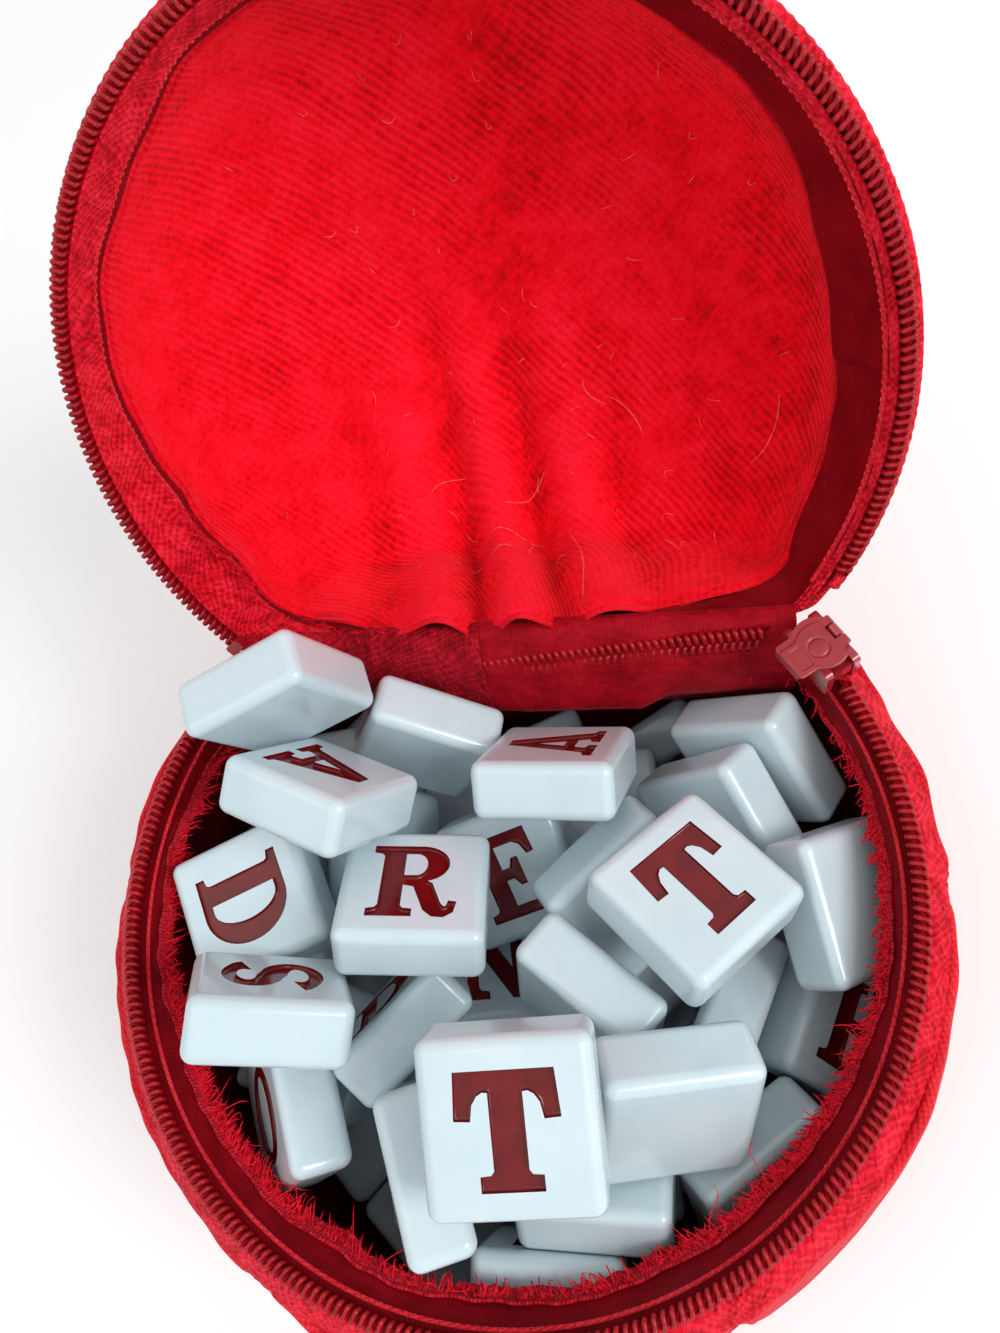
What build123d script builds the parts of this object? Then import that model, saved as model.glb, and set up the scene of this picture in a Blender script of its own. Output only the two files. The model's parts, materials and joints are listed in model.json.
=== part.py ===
from build123d import *
import math
import os

import numpy as np

# A soft clamshell pouch for a travel word game: a zipped fabric ball that opens into a deep base
# and a domed lid, filled with loose plastic letter tiles. All sizes are in millimetres. +Z is up,
# the origin is the centre of the flat bottom, and the hinge of the lid is at the back (+Y).
# Heights above the zip plane, where the two halves meet, are called rises, and those below drops.

# --- The two halves -----------------------------------------------------------------------------
RIM_RADIUS = 52.8          # outside of the zip teeth
RIM_HEIGHT = 58.0          # from the rest face to the zip plane
HINGE_BACK = 32.7          # from the rim's centre back to the hinge line
OPEN_ANGLE = 120.5         # how far the lid stands open at rest
EDGE_STEP = 3.2            # the base's folded edge stands this far outside the teeth
BELLY_SWELL = 3.0          # the belly bulges this far beyond the folded edge
BELLY_HEIGHT = 23.0        # height of the widest part, and radius of the foot
FOLD_DROP = 4.8            # from the zip plane down to the base's folded edge
BASE_LEAN = 18.0           # slope of the base's back wall, degrees
LID_STEP = 0.5             # the lid's side stands this far outside the teeth
LID_RISE = 36.0            # from the zip plane to the top of the closed lid
SHOULDER_RADIUS = 22.0
FOLD_RISE = 4.8            # from the zip plane up to the lid's folded edge
LID_LEAN = 8.0             # slope of the lid's back wall, degrees
PANELS = 6                 # sewn panels round each half
PATCH_RADIUS = 7.0         # round patch over the point where the panels meet
SEAM = 0.2                 # width of the seam lines between panels

# --- Layers ---------------------------------------------------------------------------------------
FABRIC = 1.2               # satin twill with its interfacing
EASE = 0.2                 # air between sewn layers
TAPE = 0.6                 # woven zip tape
LINING = 0.6               # smooth lining of the base
PLUSH = 1.6                # ribbed plush lining of the lid
LINING_DROP = 6.0          # from the zip plane down to the lining's upper edge
PLUSH_RISE = 7.5           # from the zip plane up to the plush's edge
FACING = 0.6               # smooth band that hangs inside the base's zip
FACING_DROP = 2.7          # from the zip plane down to the band's upper edge
FACING_REACH = 6.9         # height of the band
FACING_TAPER = 2.2         # how far the band leans in over that height
FACING_BACK = 1.1          # from the hinge line to the band's straight back run

# --- The zip --------------------------------------------------------------------------------------
TEETH_WIDTH = 2.2          # of one row of coil, across the rim
TEETH_HEIGHT = 2.25        # of one row of coil, away from the zip plane
TEETH_GAP = 0.15           # from the tips of one row to the zip plane
TEETH_PITCH = 1.2
TOOTH_RELIEF = 0.5         # depth of the gaps between the turns of the coil
TOOTH_TOP = (0.2, 0.6)     # where a turn's flat top starts and ends, as parts of the pitch
TOOTH_END = 0.8            # where the turn ends
TAPE_RUN = 9.5             # how far the tapes reach from the zip plane
TAPE_FLAT = 1.2            # width of the tape's flat part under the teeth
TAPE_PLAY = 0.1            # air between the teeth and the tape
CHAIN_START = -4.0         # X of the closed chain's sewn end
CHAIN_GAP = 4.4            # from the closed chain's other end to the corner of the hinge
CHAIN_WIDTH = 3.9
CHAIN_THICKNESS = 1.6
CHAIN_TILT = 25.0          # degrees that the closed chain leans back
STRIP_THICKNESS = 0.9      # fabric strip along the other half of the hinge
STRIP_RADIUS = 2.9
STRIP_TURN = 95.0          # degrees that the strip wraps round the hinge line
STRIP_MIDDLE = -60.0       # where its middle lies about the hinge line, in degrees
STOP_LENGTH = 1.8          # moulded stop at the end of each row
STOP_MARGIN = 0.2          # how far the stop is wider than the teeth, each side
ROW_SETBACK = 3.0          # from the hinge's left corner to the end of the rows

# --- Slider and puller ----------------------------------------------------------------------------
SLIDER_SETBACK = 4.2       # from the corner of the hinge to the slider's middle, along the rim
SLIDER_LENGTH = 9.0
SLIDER_NOSE = 5.3          # height of its wide end
SLIDER_TAIL = 4.4          # height of its narrow end
SLIDER_PLATE = 1.05
SLIDER_PLAY = 0.35         # between the plates and the teeth
SLIDER_LIFT = 0.3          # the plates' middle stands this far above the zip plane
SLIDER_RELIEF = 0.2        # extra air inside the teeth, where the rim curves
SLIDER_CORNER = 0.8        # rounding of the plates' corners
WEDGE_LENGTH = 2.7
WEDGE_HEIGHT = 2.2
WEDGE_SETBACK = 0.2        # from the slider's nose
WEDGE_LIFT = 0.1           # its lower face above the zip plane
SLIDER_TRAVEL = 245.0      # degrees round the rim from the hinge's right corner to its left one
LUG_WIDTH = 1.6
LUG_ROOT = 0.5             # how deep it stands in the plate
KNUCKLE_RADIUS = 0.7       # half the puller's thickness
KNUCKLE_PLAY = 0.25
PIN_RADIUS = 0.35
PIN_LENGTH = 4.4
PIN_PLAY = 0.07
PULL_LENGTH = 8.5
PULL_HEAD = 6.8            # diameter of the round head
PULL_TAIL = 4.8            # width of the square tail
PULL_NECK = 1.6            # radius of the hollows between head and tail
PULL_CORNER = 0.6
RING_RADIUS = 1.5          # plain ring pressed into the head
RING_WIDTH = 0.4
RING_DEPTH = 0.2
WINDOW_LENGTH = 1.3        # hollow in the tail
WINDOW_WIDTH = 2.9
WINDOW_INSET = 1.1
WINDOW_DEPTH = 0.35

# --- Tiles ----------------------------------------------------------------------------------------
TILE = 19.0
TILE_THICKNESS = 8.0
TILE_CHAMFER = 1.2
TILE_PLAY = 0.2            # least air between two tiles
WALL_PLAY = 0.4            # least air between a tile and the pouch
PULL_PLAY = 1.2            # least air between a tile and the puller's path
LEVEL_STEP = 0.1           # spacing of the heights at which the pouch's room is worked out
GIVE = 0.54                # part of an overlap that each of two tiles gives way by, in one turn
PUSH_BACK = 1.02           # part of a reach through the pouch that is taken back
SLOWER = 0.7               # part of a turn's shift that is made
SLIDING = 0.85             # part of the way home that is left out along the line of pouring
SETTLING = 0.5             # part of the turns in which the tiles are drawn home
FILL_SPAN = 45.0           # how far from the middle hollows are looked for
FILL_STEP = 4.0
FILL_RISE = 2.0
FILL_TOP = 16.0            # no hollow is looked for nearer to the zip plane than this
FILL_TURN = 10             # degrees that a tile in a hollow is turned on its face
FILL_TILTS = ((0, 0), (25, 90), (25, 210), (70, 0), (80, 60), (80, 120))
LAYERS = 5                 # flat layers that fill the base beside and under the heap
HEAP_FLOOR = 11.0          # height of the lowest tiles of the heap above the rest face
LAYER_TURN = 24.0          # degrees that each layer is turned on the one below

# Loose tiles as they lie in the heap: the tilt of the letter's face from the horizontal, the
# direction it tilts to, its turn about its own thickness, and its centre from the rim's centre,
# for a rim of the radius HEAP_RIM; the heap spreads and closes up with the rim.
HEAP_RIM = 52.8
HEAP = {
    "t_front": (20, -75, 5, (6, -28, 13)),
    "top_left": (85, 110, 5, (-26, 22, 5)),
    "a_left": (60, 70, -115, (-26, 12, 3)),
    "s": (70, 80, 110, (-27, -19, 4)),
    "t_right": (20, 55, 45, (24, -1, -6)),
    "r": (35, 75, 5, (-10, -3, 2)),
    "a_back": (55, 90, 85, (7, 15, -4)),
    "d": (5, -95, -65, (-40, -2, -9)),
    "front_rim": (85, 90, 0, (6, -46, -17)),
    "front_left": (75, -160, 20, (-15, -43, -12)),
    "o_left": (65, 137, 47, (-16, -25, -12)),
    "front_middle": (60, -70, 0, (21, -26, -11)),
    "front_under": (40, 90, 0, (13, -35, -11)),
    "a_right": (60, -45, 30, (32, -33, -23)),
    "middle": (75, -127, 53, (12, -12, -15)),
    "middle_low": (25, 60, 10, (-4, -9, -22)),
    "right_low": (30, 0, 30, (36, -1, -28)),
    "right_under": (25, 30, 45, (18, -10, -18)),
    "back_under": (50, -50, 45, (16, 0, -13)),
    "e_middle": (30, -100, 20, (1, 2, -19)),
    "back_left": (80, -95, -35, (-15, 22, -7)),
    "back_right": (60, -130, 15, (30, 11, -15)),
    "top_right": (70, -120, 10, (37, 20, -16)),
    "o_left_low": (55, -160, 20, (-31, -34, -16)),
    "right_front": (85, 155, 5, (30, -14, -27)),
    "h_right": (40, -10, -25, (45, -16, -22)),
    "right_wall": (45, -5, 20, (51, 1, -20)),
}
LOOSE = ("t_front", "top_left", "a_left", "s", "t_right", "r", "a_back", "d")
POUR_POINT = (30.0, -26.0, 126.0)    # the heap gives way along lines from this point, before others

ROUND = 360.0
FAR = 200.0                # larger than the pouch, for cutting solids
os.makedirs("parts", exist_ok=True)

foot_radius = RIM_RADIUS + EDGE_STEP + BELLY_SWELL - BELLY_HEIGHT
belly_radius = foot_radius + BELLY_HEIGHT
lid_radius = RIM_RADIUS + LID_STEP
tape_inset = FABRIC + EASE
lining_inset = tape_inset + TAPE + EASE
teeth_middle = RIM_RADIUS - TEETH_WIDTH / 2
hinge_half = math.sqrt(teeth_middle ** 2 - HINGE_BACK ** 2)
hinge_corner = math.degrees(math.atan2(HINGE_BACK, hinge_half))
slider_azimuth = hinge_corner - math.degrees(SLIDER_SETBACK / teeth_middle)
rows_start = ROUND / 2 - hinge_corner + math.degrees(ROW_SETBACK / teeth_middle)
rows_end = ROUND + slider_azimuth - math.degrees((SLIDER_LENGTH / 2 + SLIDER_PLAY) / teeth_middle)


def save(name, *shapes):
    """Write one node; several shapes in it stay separate solids."""
    solids = [solid for shape in shapes for solid in shape.solids()]
    export_step(solids[0] if len(solids) == 1 else Compound(solids), f"parts/{name}.step")


def cos_of(angle):
    return math.cos(math.radians(angle))


def sin_of(angle):
    return math.sin(math.radians(angle))


def tan_of(angle):
    return math.tan(math.radians(angle))


def around(radius, azimuth, height=0.0):
    return (radius * cos_of(azimuth), radius * sin_of(azimuth), height)


def arc(centre, radius, start, end):
    """Arc in the XZ plane about a centre; angles in degrees from +X towards +Z."""
    turns = (start, (start + end) / 2, end)
    return ThreePointArc(*[(centre[0] + radius * cos_of(a), 0, centre[1] + radius * sin_of(a))
                           for a in turns])


def strung(*points):
    """Straight edges through points given as radius and height."""
    return Polyline(*[(x, 0, z) for x, z in points])


def turned(edges, start=0.0, end=ROUND):
    """Solid that the closed outline sweeps round the Z axis, from one azimuth to another."""
    return Rot(0, 0, start) * revolve(make_face(edges), Axis.Z, revolution_arc=end - start)


# --- Forms of the two halves ----------------------------------------------------------------------
belly_drop = RIM_HEIGHT - FOLD_DROP - BELLY_HEIGHT
belly_sweep = (BELLY_SWELL ** 2 + belly_drop ** 2) / (2 * BELLY_SWELL)
shoulder_seat = lid_radius - SHOULDER_RADIUS
shoulder_turn = 90 - 2 * math.degrees(math.atan((LID_RISE - FOLD_RISE - SHOULDER_RADIUS) / shoulder_seat))
crown_radius = SHOULDER_RADIUS + shoulder_seat / cos_of(shoulder_turn)
crown_seat = FOLD_RISE - shoulder_seat * tan_of(shoulder_turn)


def base_side(height, inset):
    """Radius of the base's side at a height, inside its outer surface by the inset."""
    if height < BELLY_HEIGHT:
        foot = BELLY_HEIGHT - inset
        return foot_radius + math.sqrt(max(0.0, foot ** 2 - (BELLY_HEIGHT - height) ** 2))
    side = belly_sweep - inset
    return belly_radius - belly_sweep + math.sqrt(max(0.0, side ** 2 - (height - BELLY_HEIGHT) ** 2))


def lid_side(rise, inset):
    """Radius of the closed lid's side at a rise above the zip plane, inside its outer surface."""
    if rise < FOLD_RISE:
        return lid_radius - inset
    shoulder = SHOULDER_RADIUS - inset
    if rise < FOLD_RISE + shoulder * sin_of(shoulder_turn):
        return shoulder_seat + math.sqrt(shoulder ** 2 - (rise - FOLD_RISE) ** 2)
    crown = crown_radius - inset
    return math.sqrt(max(0.0, crown ** 2 - (rise - crown_seat) ** 2))


def base_back(height, inset):
    """Y of the base's back wall at a height, inside its outer surface."""
    return HINGE_BACK + (RIM_HEIGHT - height) * tan_of(BASE_LEAN) - inset / cos_of(BASE_LEAN)


def lid_back(rise, inset):
    """Y of the closed lid's back wall at a rise, inside its outer surface."""
    return HINGE_BACK + rise * tan_of(LID_LEAN) - inset / cos_of(LID_LEAN)


def cut_back(shape, lean, inset):
    """Cut a half's form along its back wall, which leans out from the hinge line."""
    normal = (0, cos_of(lean), sin_of(lean))
    seat = (0, HINGE_BACK - inset * normal[1], RIM_HEIGHT - inset * normal[2])
    return split(shape, Plane(seat, x_dir=(1, 0, 0), z_dir=normal), keep=Keep.BOTTOM)


def base_form(inset, top):
    """Solid of the base inside its outer surface by the inset, up to a height."""
    foot, side = BELLY_HEIGHT - inset, belly_sweep - inset
    end = math.degrees(math.asin((top - BELLY_HEIGHT) / side))
    edges = strung((0, top), (0, inset), (foot_radius, inset))
    edges += arc((foot_radius, BELLY_HEIGHT), foot, -90, 0)
    edges += arc((belly_radius - belly_sweep, BELLY_HEIGHT), side, 0, end)
    edges += strung((base_side(top, inset), top), (0, top))
    return cut_back(turned(edges), BASE_LEAN, inset)


def lid_form(inset, rise):
    """Solid of the closed lid inside its outer surface by the inset, from a rise upwards."""
    shoulder, crown = SHOULDER_RADIUS - inset, crown_radius - inset
    start = 0.0
    edges = strung((0, crown_seat + crown), (0, rise), (lid_side(rise, inset), rise))
    if rise < FOLD_RISE:
        edges += strung((lid_radius - inset, rise), (lid_radius - inset, FOLD_RISE))
    else:
        start = math.degrees(math.asin((rise - FOLD_RISE) / shoulder))
    edges += arc((shoulder_seat, FOLD_RISE), shoulder, start, shoulder_turn)
    edges += arc((0, crown_seat), crown, shoulder_turn, 90)
    return cut_back(Pos(0, 0, RIM_HEIGHT) * turned(edges), -LID_LEAN, inset)


def base_shell(inset, thickness, top):
    return base_form(inset, top) - base_form(inset + thickness, top + 1)


def lid_shell(inset, thickness, rise):
    return lid_form(inset, rise) - lid_form(inset + thickness, rise - 1)


def opened(shape):
    """Turn a piece of the closed lid about the hinge line to where it stands at rest."""
    return shape.rotate(Axis((0, HINGE_BACK, RIM_HEIGHT), (-1, 0, 0)), OPEN_ANGLE)


def sector(index):
    """Wedge that cuts one sewn panel out of a half, with half a seam line left off each side."""
    half = ROUND / PANELS / 2
    tip = SEAM / 2 / sin_of(half)
    wide = FAR / cos_of(half)
    wedge = Polyline((tip, 0), (tip + wide * cos_of(half), -wide * sin_of(half)),
                     (tip + wide * cos_of(half), wide * sin_of(half)), close=True)
    return Rot(0, 0, (2 * index + 1) * half) * Pos(0, 0, -FAR) * extrude(make_face(wedge), 2 * FAR)


def sewn(shell, name, place):
    """Split a half's fabric into its panels and the round patch over their meeting point."""
    ring = shell - Cylinder(PATCH_RADIUS + SEAM, 2 * FAR)
    for index in range(PANELS):
        save(f"{name}_panel_{index + 1}", place(ring & sector(index)))
    save(f"{name}_patch", place(shell & Cylinder(PATCH_RADIUS, 2 * FAR)))


sewn(base_shell(0, FABRIC, RIM_HEIGHT - FOLD_DROP), "base", lambda shape: shape)
sewn(lid_shell(0, FABRIC, FOLD_RISE), "lid", opened)
save("base_lining", base_shell(lining_inset, LINING, RIM_HEIGHT - LINING_DROP))
save("lid_plush_lining", opened(lid_shell(lining_inset, PLUSH, PLUSH_RISE)))


# --- Smooth band inside the base's zip -------------------------------------------------------------
facing_top = teeth_middle - TEETH_WIDTH / 2 - EASE
facing_foot = RIM_HEIGHT - FACING_DROP - FACING_REACH


def facing_core(inset, overrun):
    """Tapered plug with a straight back, as large as the band's outside or its hollow."""
    low, high = facing_foot - overrun, RIM_HEIGHT - FACING_DROP + overrun
    slope = FACING_TAPER / FACING_REACH
    outer = facing_top - inset
    edges = strung((0, low), (outer - FACING_TAPER - overrun * slope, low),
                   (outer + overrun * slope, high), (0, high), (0, low))
    back = Plane((0, HINGE_BACK - FACING_BACK - inset, 0), x_dir=(1, 0, 0), z_dir=(0, 1, 0))
    return split(turned(edges), back, keep=Keep.BOTTOM)


save("base_facing", facing_core(0, 0) - facing_core(FACING, 1))


# --- Zip tapes --------------------------------------------------------------------------------------
tape_start = RIM_RADIUS - TAPE_FLAT
tape_level = TEETH_GAP + TEETH_HEIGHT + TAPE_PLAY
back_start = CHAIN_START
back_end = hinge_half - CHAIN_GAP


def base_tape():
    """Tape that leaves the base's teeth outwards and goes down behind the folded edge."""
    top, fold = RIM_HEIGHT - tape_level, RIM_HEIGHT - FOLD_DROP - EASE
    foot = RIM_HEIGHT - TAPE_RUN
    outline = strung((tape_start, top), (RIM_RADIUS, top), (base_side(fold, tape_inset), fold),
                     (base_side(foot, tape_inset), foot), (base_side(foot, tape_inset + TAPE), foot),
                     (base_side(fold, tape_inset + TAPE), fold - TAPE / 2), (RIM_RADIUS - TAPE / 4, top - TAPE),
                     (tape_start, top - TAPE), (tape_start, top))
    return cut_back(turned(outline, rows_start, rows_end), BASE_LEAN, tape_inset)


def lid_tape():
    """Tape that goes up from the lid's teeth, inside the fabric."""
    outer, end = lid_side(FOLD_RISE, tape_inset), lid_side(TAPE_RUN, tape_inset)
    edge = RIM_RADIUS - EASE
    outline = strung((edge, tape_level), (outer - TAPE, tape_level), (outer - TAPE, FOLD_RISE),
                     (end - TAPE, TAPE_RUN), (end, TAPE_RUN), (outer, FOLD_RISE),
                     (outer, tape_level + TAPE), (edge, tape_level + TAPE), (edge, tape_level))
    ring = Pos(0, 0, RIM_HEIGHT) * turned(outline, rows_start, rows_end)
    return cut_back(ring, -LID_LEAN, tape_inset)


def back_tape(wall, sign, fold):
    """Straight run of tape from the closed chain into a back wall, above or below the hinge line."""
    start = (CHAIN_WIDTH / 2 + EASE, HINGE_BACK - TAPE / 2)
    knee = (fold, wall(fold))
    foot = (TAPE_RUN, wall(TAPE_RUN))
    run = [start, knee, foot]
    section = [(y, RIM_HEIGHT + sign * rise) for rise, y in run]
    section += [(y - TAPE, RIM_HEIGHT + sign * rise) for rise, y in reversed(run)]
    face = make_face(Polyline(*[(back_start, y, z) for y, z in section], close=True))
    return extrude(face, back_end - back_start, dir=(1, 0, 0))


save("base_zip_tape", base_tape(),
     back_tape(lambda drop: base_back(RIM_HEIGHT - drop, tape_inset), -1, FOLD_DROP + EASE))
save("lid_zip_tape", opened(lid_tape()),
     opened(back_tape(lambda rise: lid_back(rise, tape_inset), 1, FOLD_RISE + EASE)))


# --- Zip teeth ----------------------------------------------------------------------------------------
def toothed(radius):
    """Points of a row's outer edge: one flat-topped turn of the coil after another."""
    count = round(math.radians(rows_end - rows_start) * radius / TEETH_PITCH)
    step = (rows_end - rows_start) / count
    points = []
    for index in range(count):
        start = rows_start + index * step
        points += [around(radius - TOOTH_RELIEF, start), around(radius, start + TOOTH_TOP[0] * step),
                   around(radius, start + TOOTH_TOP[1] * step),
                   around(radius - TOOTH_RELIEF, start + TOOTH_END * step)]
    points.append(around(radius - TOOTH_RELIEF, rows_end))
    return points


def row_of_teeth():
    """One row of nylon coil, lying on the XY plane."""
    inner = RIM_RADIUS - TEETH_WIDTH
    outer = toothed(RIM_RADIUS)
    start, middle, end = [around(inner, a) for a in (rows_start, (rows_start + rows_end) / 2, rows_end)]
    edges = Polyline(*outer) + Line(outer[-1], end) + ThreePointArc(end, middle, start)
    edges += Line(start, outer[0])
    return extrude(make_face(edges), TEETH_HEIGHT)


def stop(level):
    """Moulded stop that closes the end of a row."""
    width, height = TEETH_WIDTH + 2 * STOP_MARGIN, TEETH_HEIGHT
    azimuth = rows_start - math.degrees((STOP_LENGTH / 2 + EASE) / teeth_middle)
    block = fillet(Box(width, STOP_LENGTH, height).edges().filter_by(Axis.Z), STOP_LENGTH / 4)
    return Pos(0, 0, level + height / 2) * Rot(0, 0, azimuth) * Pos(teeth_middle, 0, 0) * block


row = row_of_teeth()
base_level = RIM_HEIGHT - TEETH_GAP - TEETH_HEIGHT
lid_level = RIM_HEIGHT + TEETH_GAP
save("base_zip_teeth", Pos(0, 0, base_level) * row)
save("lid_zip_teeth", opened(Pos(0, 0, lid_level) * row))
save("base_zip_stop", stop(base_level))
save("lid_zip_stop", opened(stop(lid_level)))


# --- Hinge: closed chain on one half, fabric strip on the other ---------------------------------------
def closed_chain():
    """The zip's sewn end: two rows of teeth that stay closed along the hinge line."""
    count = round((back_end - back_start) / TEETH_PITCH)
    pitch = (back_end - back_start) / count
    half = CHAIN_WIDTH / 2
    side = []
    for index in range(count):
        x = back_start + index * pitch
        side += [(x, half - TOOTH_RELIEF), (x + TOOTH_TOP[0] * pitch, half),
                 (x + TOOTH_TOP[1] * pitch, half), (x + TOOTH_END * pitch, half - TOOTH_RELIEF)]
    side.append((back_end, half - TOOTH_RELIEF))
    outline = Polyline(*side, *[(x, -y) for x, y in reversed(side)], close=True)
    chain = Pos(0, 0, -CHAIN_THICKNESS / 2) * extrude(make_face(outline), CHAIN_THICKNESS)
    return Pos(0, HINGE_BACK, RIM_HEIGHT) * Rot(90 - CHAIN_TILT, 0, 0) * chain


def hinge_strip():
    """Fabric strip that joins the two halves beside the sewn end of the zip."""
    turns = (STRIP_MIDDLE - STRIP_TURN / 2, STRIP_MIDDLE, STRIP_MIDDLE + STRIP_TURN / 2)
    outer = [(STRIP_RADIUS * cos_of(a), STRIP_RADIUS * sin_of(a)) for a in turns]
    inner = [(y * (1 - STRIP_THICKNESS / STRIP_RADIUS), z * (1 - STRIP_THICKNESS / STRIP_RADIUS))
             for y, z in outer]
    x = -hinge_half + CHAIN_GAP / 2

    def at(point):
        return (x, HINGE_BACK + point[0], RIM_HEIGHT + point[1])

    edges = ThreePointArc(*[at(p) for p in outer]) + Line(at(outer[2]), at(inner[2]))
    edges += ThreePointArc(*[at(p) for p in reversed(inner)]) + Line(at(inner[0]), at(outer[0]))
    return extrude(make_face(edges), back_start - EASE - x, dir=(1, 0, 0))


save("hinge_chain", closed_chain())
save("hinge_strip", hinge_strip())


# --- Slider ------------------------------------------------------------------------------------------
# Drawn with +X along its travel, +Y out from the rim's centre and Z from the zip plane.
plate_inside = RIM_RADIUS - TEETH_WIDTH - SLIDER_PLAY - SLIDER_RELIEF
plate_outside = RIM_RADIUS + SLIDER_PLAY
pin_seat = (plate_outside + SLIDER_PLATE / 2, SLIDER_LIFT + SLIDER_NOSE / 2 + KNUCKLE_PLAY + KNUCKLE_RADIUS)


def slider_plate(inner_face):
    """One of the slider's two plates: wide at the nose, where the rows part, and rounded."""
    half, nose, tail = SLIDER_LENGTH / 2, SLIDER_NOSE / 2, SLIDER_TAIL / 2
    outline = Polyline((-half, 0, -tail), (half / 4, 0, -nose), (half, 0, -nose), (half, 0, nose),
                       (half / 4, 0, nose), (-half, 0, tail), close=True)
    plate = extrude(make_face(outline), SLIDER_PLATE, dir=(0, 1, 0))
    plate = fillet(plate.edges().filter_by(Axis.Y), SLIDER_CORNER)
    return Pos(0, inner_face, SLIDER_LIFT) * plate


def slider():
    """Two plates joined by the wedge that parts the rows, with a lug for the puller's pin."""
    front = SLIDER_LENGTH / 2 - WEDGE_SETBACK
    wedge = Polyline((front, 0, WEDGE_LIFT), (front, 0, WEDGE_LIFT + WEDGE_HEIGHT),
                     (front - WEDGE_LENGTH, 0, WEDGE_LIFT + WEDGE_HEIGHT / 2),
                     (front - WEDGE_LENGTH, 0, WEDGE_LIFT), close=True)
    reach = plate_outside - plate_inside
    body = slider_plate(plate_inside - SLIDER_PLATE) + slider_plate(plate_outside)
    body += Pos(0, plate_inside, 0) * extrude(make_face(wedge), reach, dir=(0, 1, 0))
    y, z = pin_seat
    foot = SLIDER_LIFT + SLIDER_NOSE / 2 - LUG_ROOT
    body += Pos(0, y, (z + foot) / 2) * Box(LUG_WIDTH, 2 * KNUCKLE_RADIUS, z - foot)
    body += Pos(0, y, z) * Rot(0, 90, 0) * Cylinder(KNUCKLE_RADIUS, LUG_WIDTH)
    return body - Pos(0, y, z) * Rot(0, 90, 0) * Cylinder(PIN_RADIUS + PIN_PLAY, 2 * LUG_WIDTH)


def pull_outline():
    """Flat shape of the puller, from the pin at the origin towards -Y."""
    head = Pos(0, -PULL_HEAD / 2 + KNUCKLE_RADIUS) * Circle(PULL_HEAD / 2)
    length = PULL_LENGTH - PULL_HEAD / 2
    tail = Pos(0, -PULL_HEAD / 2 + KNUCKLE_RADIUS - length / 2) * Rectangle(PULL_TAIL, length)
    flat = head + tail
    neck = flat.vertices().sort_by(Axis.Y)
    flat = fillet(neck[2:4], PULL_NECK)
    flat = fillet(flat.vertices().sort_by(Axis.Y)[:2], PULL_CORNER)
    return flat & Pos(0, -FAR / 2) * Rectangle(FAR, FAR)


def puller():
    """Puller with a knuckle round its pin, a plain ring in its head and a hollow in its tail."""
    half = KNUCKLE_RADIUS
    body = Pos(0, 0, -half) * extrude(pull_outline(), 2 * half)
    body += Rot(0, 90, 0) * Cylinder(half, PIN_LENGTH)
    body -= Box(LUG_WIDTH + 2 * KNUCKLE_PLAY, 2 * (half + KNUCKLE_PLAY), 4 * half)
    body -= Rot(0, 90, 0) * Cylinder(PIN_RADIUS + PIN_PLAY, FAR)
    eye = -PULL_HEAD / 2 + KNUCKLE_RADIUS - RING_RADIUS / 2
    ring = Circle(RING_RADIUS) - Circle(RING_RADIUS - RING_WIDTH)
    body -= Pos(0, eye, half - RING_DEPTH) * extrude(ring, RING_DEPTH)
    hollow = KNUCKLE_RADIUS - PULL_LENGTH + WINDOW_INSET + WINDOW_LENGTH / 2
    window = Pos(0, hollow) * Rectangle(WINDOW_WIDTH, WINDOW_LENGTH)
    window = fillet(window.vertices(), WINDOW_LENGTH / 4)
    return body - Pos(0, 0, half - WINDOW_DEPTH) * extrude(window, WINDOW_DEPTH)


def on_rim(shape):
    """Place a piece drawn in the slider's frame at the slider's rest place on the rim."""
    return Pos(0, 0, RIM_HEIGHT) * Rot(0, 0, slider_azimuth - 90) * shape


at_pin = Pos(0, *pin_seat)
save("slider_body", on_rim(slider()))
save("pull_pin", on_rim(at_pin * Rot(0, 90, 0) * Cylinder(PIN_RADIUS, PIN_LENGTH)))
save("pull_tab", on_rim(at_pin * puller()))


# --- Tiles: where they lie -----------------------------------------------------------------------------
half_tile = np.array([TILE / 2, TILE / 2, TILE_THICKNESS / 2])
tile_reach = 2 * float(np.linalg.norm(half_tile))
signs = np.array([(x, y, z) for x in (-1, 1) for y in (-1, 1) for z in (-1, 1)])
corners = np.vstack([signs * (half_tile - TILE_CHAMFER * (1 - face)) for face in np.eye(3)])
skin = np.vstack([corners * stretch for stretch in (
    (1, 1, 1), (0.5, 1, 1), (0, 1, 1), (1, 0.5, 1), (1, 0, 1), (1, 1, 0))])
hollow_inset = lining_inset + LINING + WALL_PLAY
dome_inset = lining_inset + PLUSH + WALL_PLAY
slider_reach = plate_inside - SLIDER_PLATE - WALL_PLAY
pull_reach = pin_seat[0] - PULL_LENGTH + KNUCKLE_RADIUS - PULL_PLAY
pull_top = pin_seat[1] + KNUCKLE_RADIUS + PULL_PLAY
facing_low = FACING_DROP + FACING_REACH + WALL_PLAY
layer_height = TILE_THICKNESS + 1.2 * TILE_PLAY
bag_floor = lining_inset + LINING + TILE_PLAY


def free_radius(height):
    """Largest radius that a tile may reach at a height, with the lid closed and the slider passing."""
    rise = height - RIM_HEIGHT
    if rise < -facing_low:
        return base_side(height, hollow_inset)
    if rise < -FACING_DROP:
        return facing_top - FACING_TAPER - FACING - WALL_PLAY
    if rise < pull_top:
        return slider_reach if rise < pin_seat[1] - KNUCKLE_RADIUS - PULL_PLAY else pull_reach
    return lid_side(rise, dome_inset)


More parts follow.
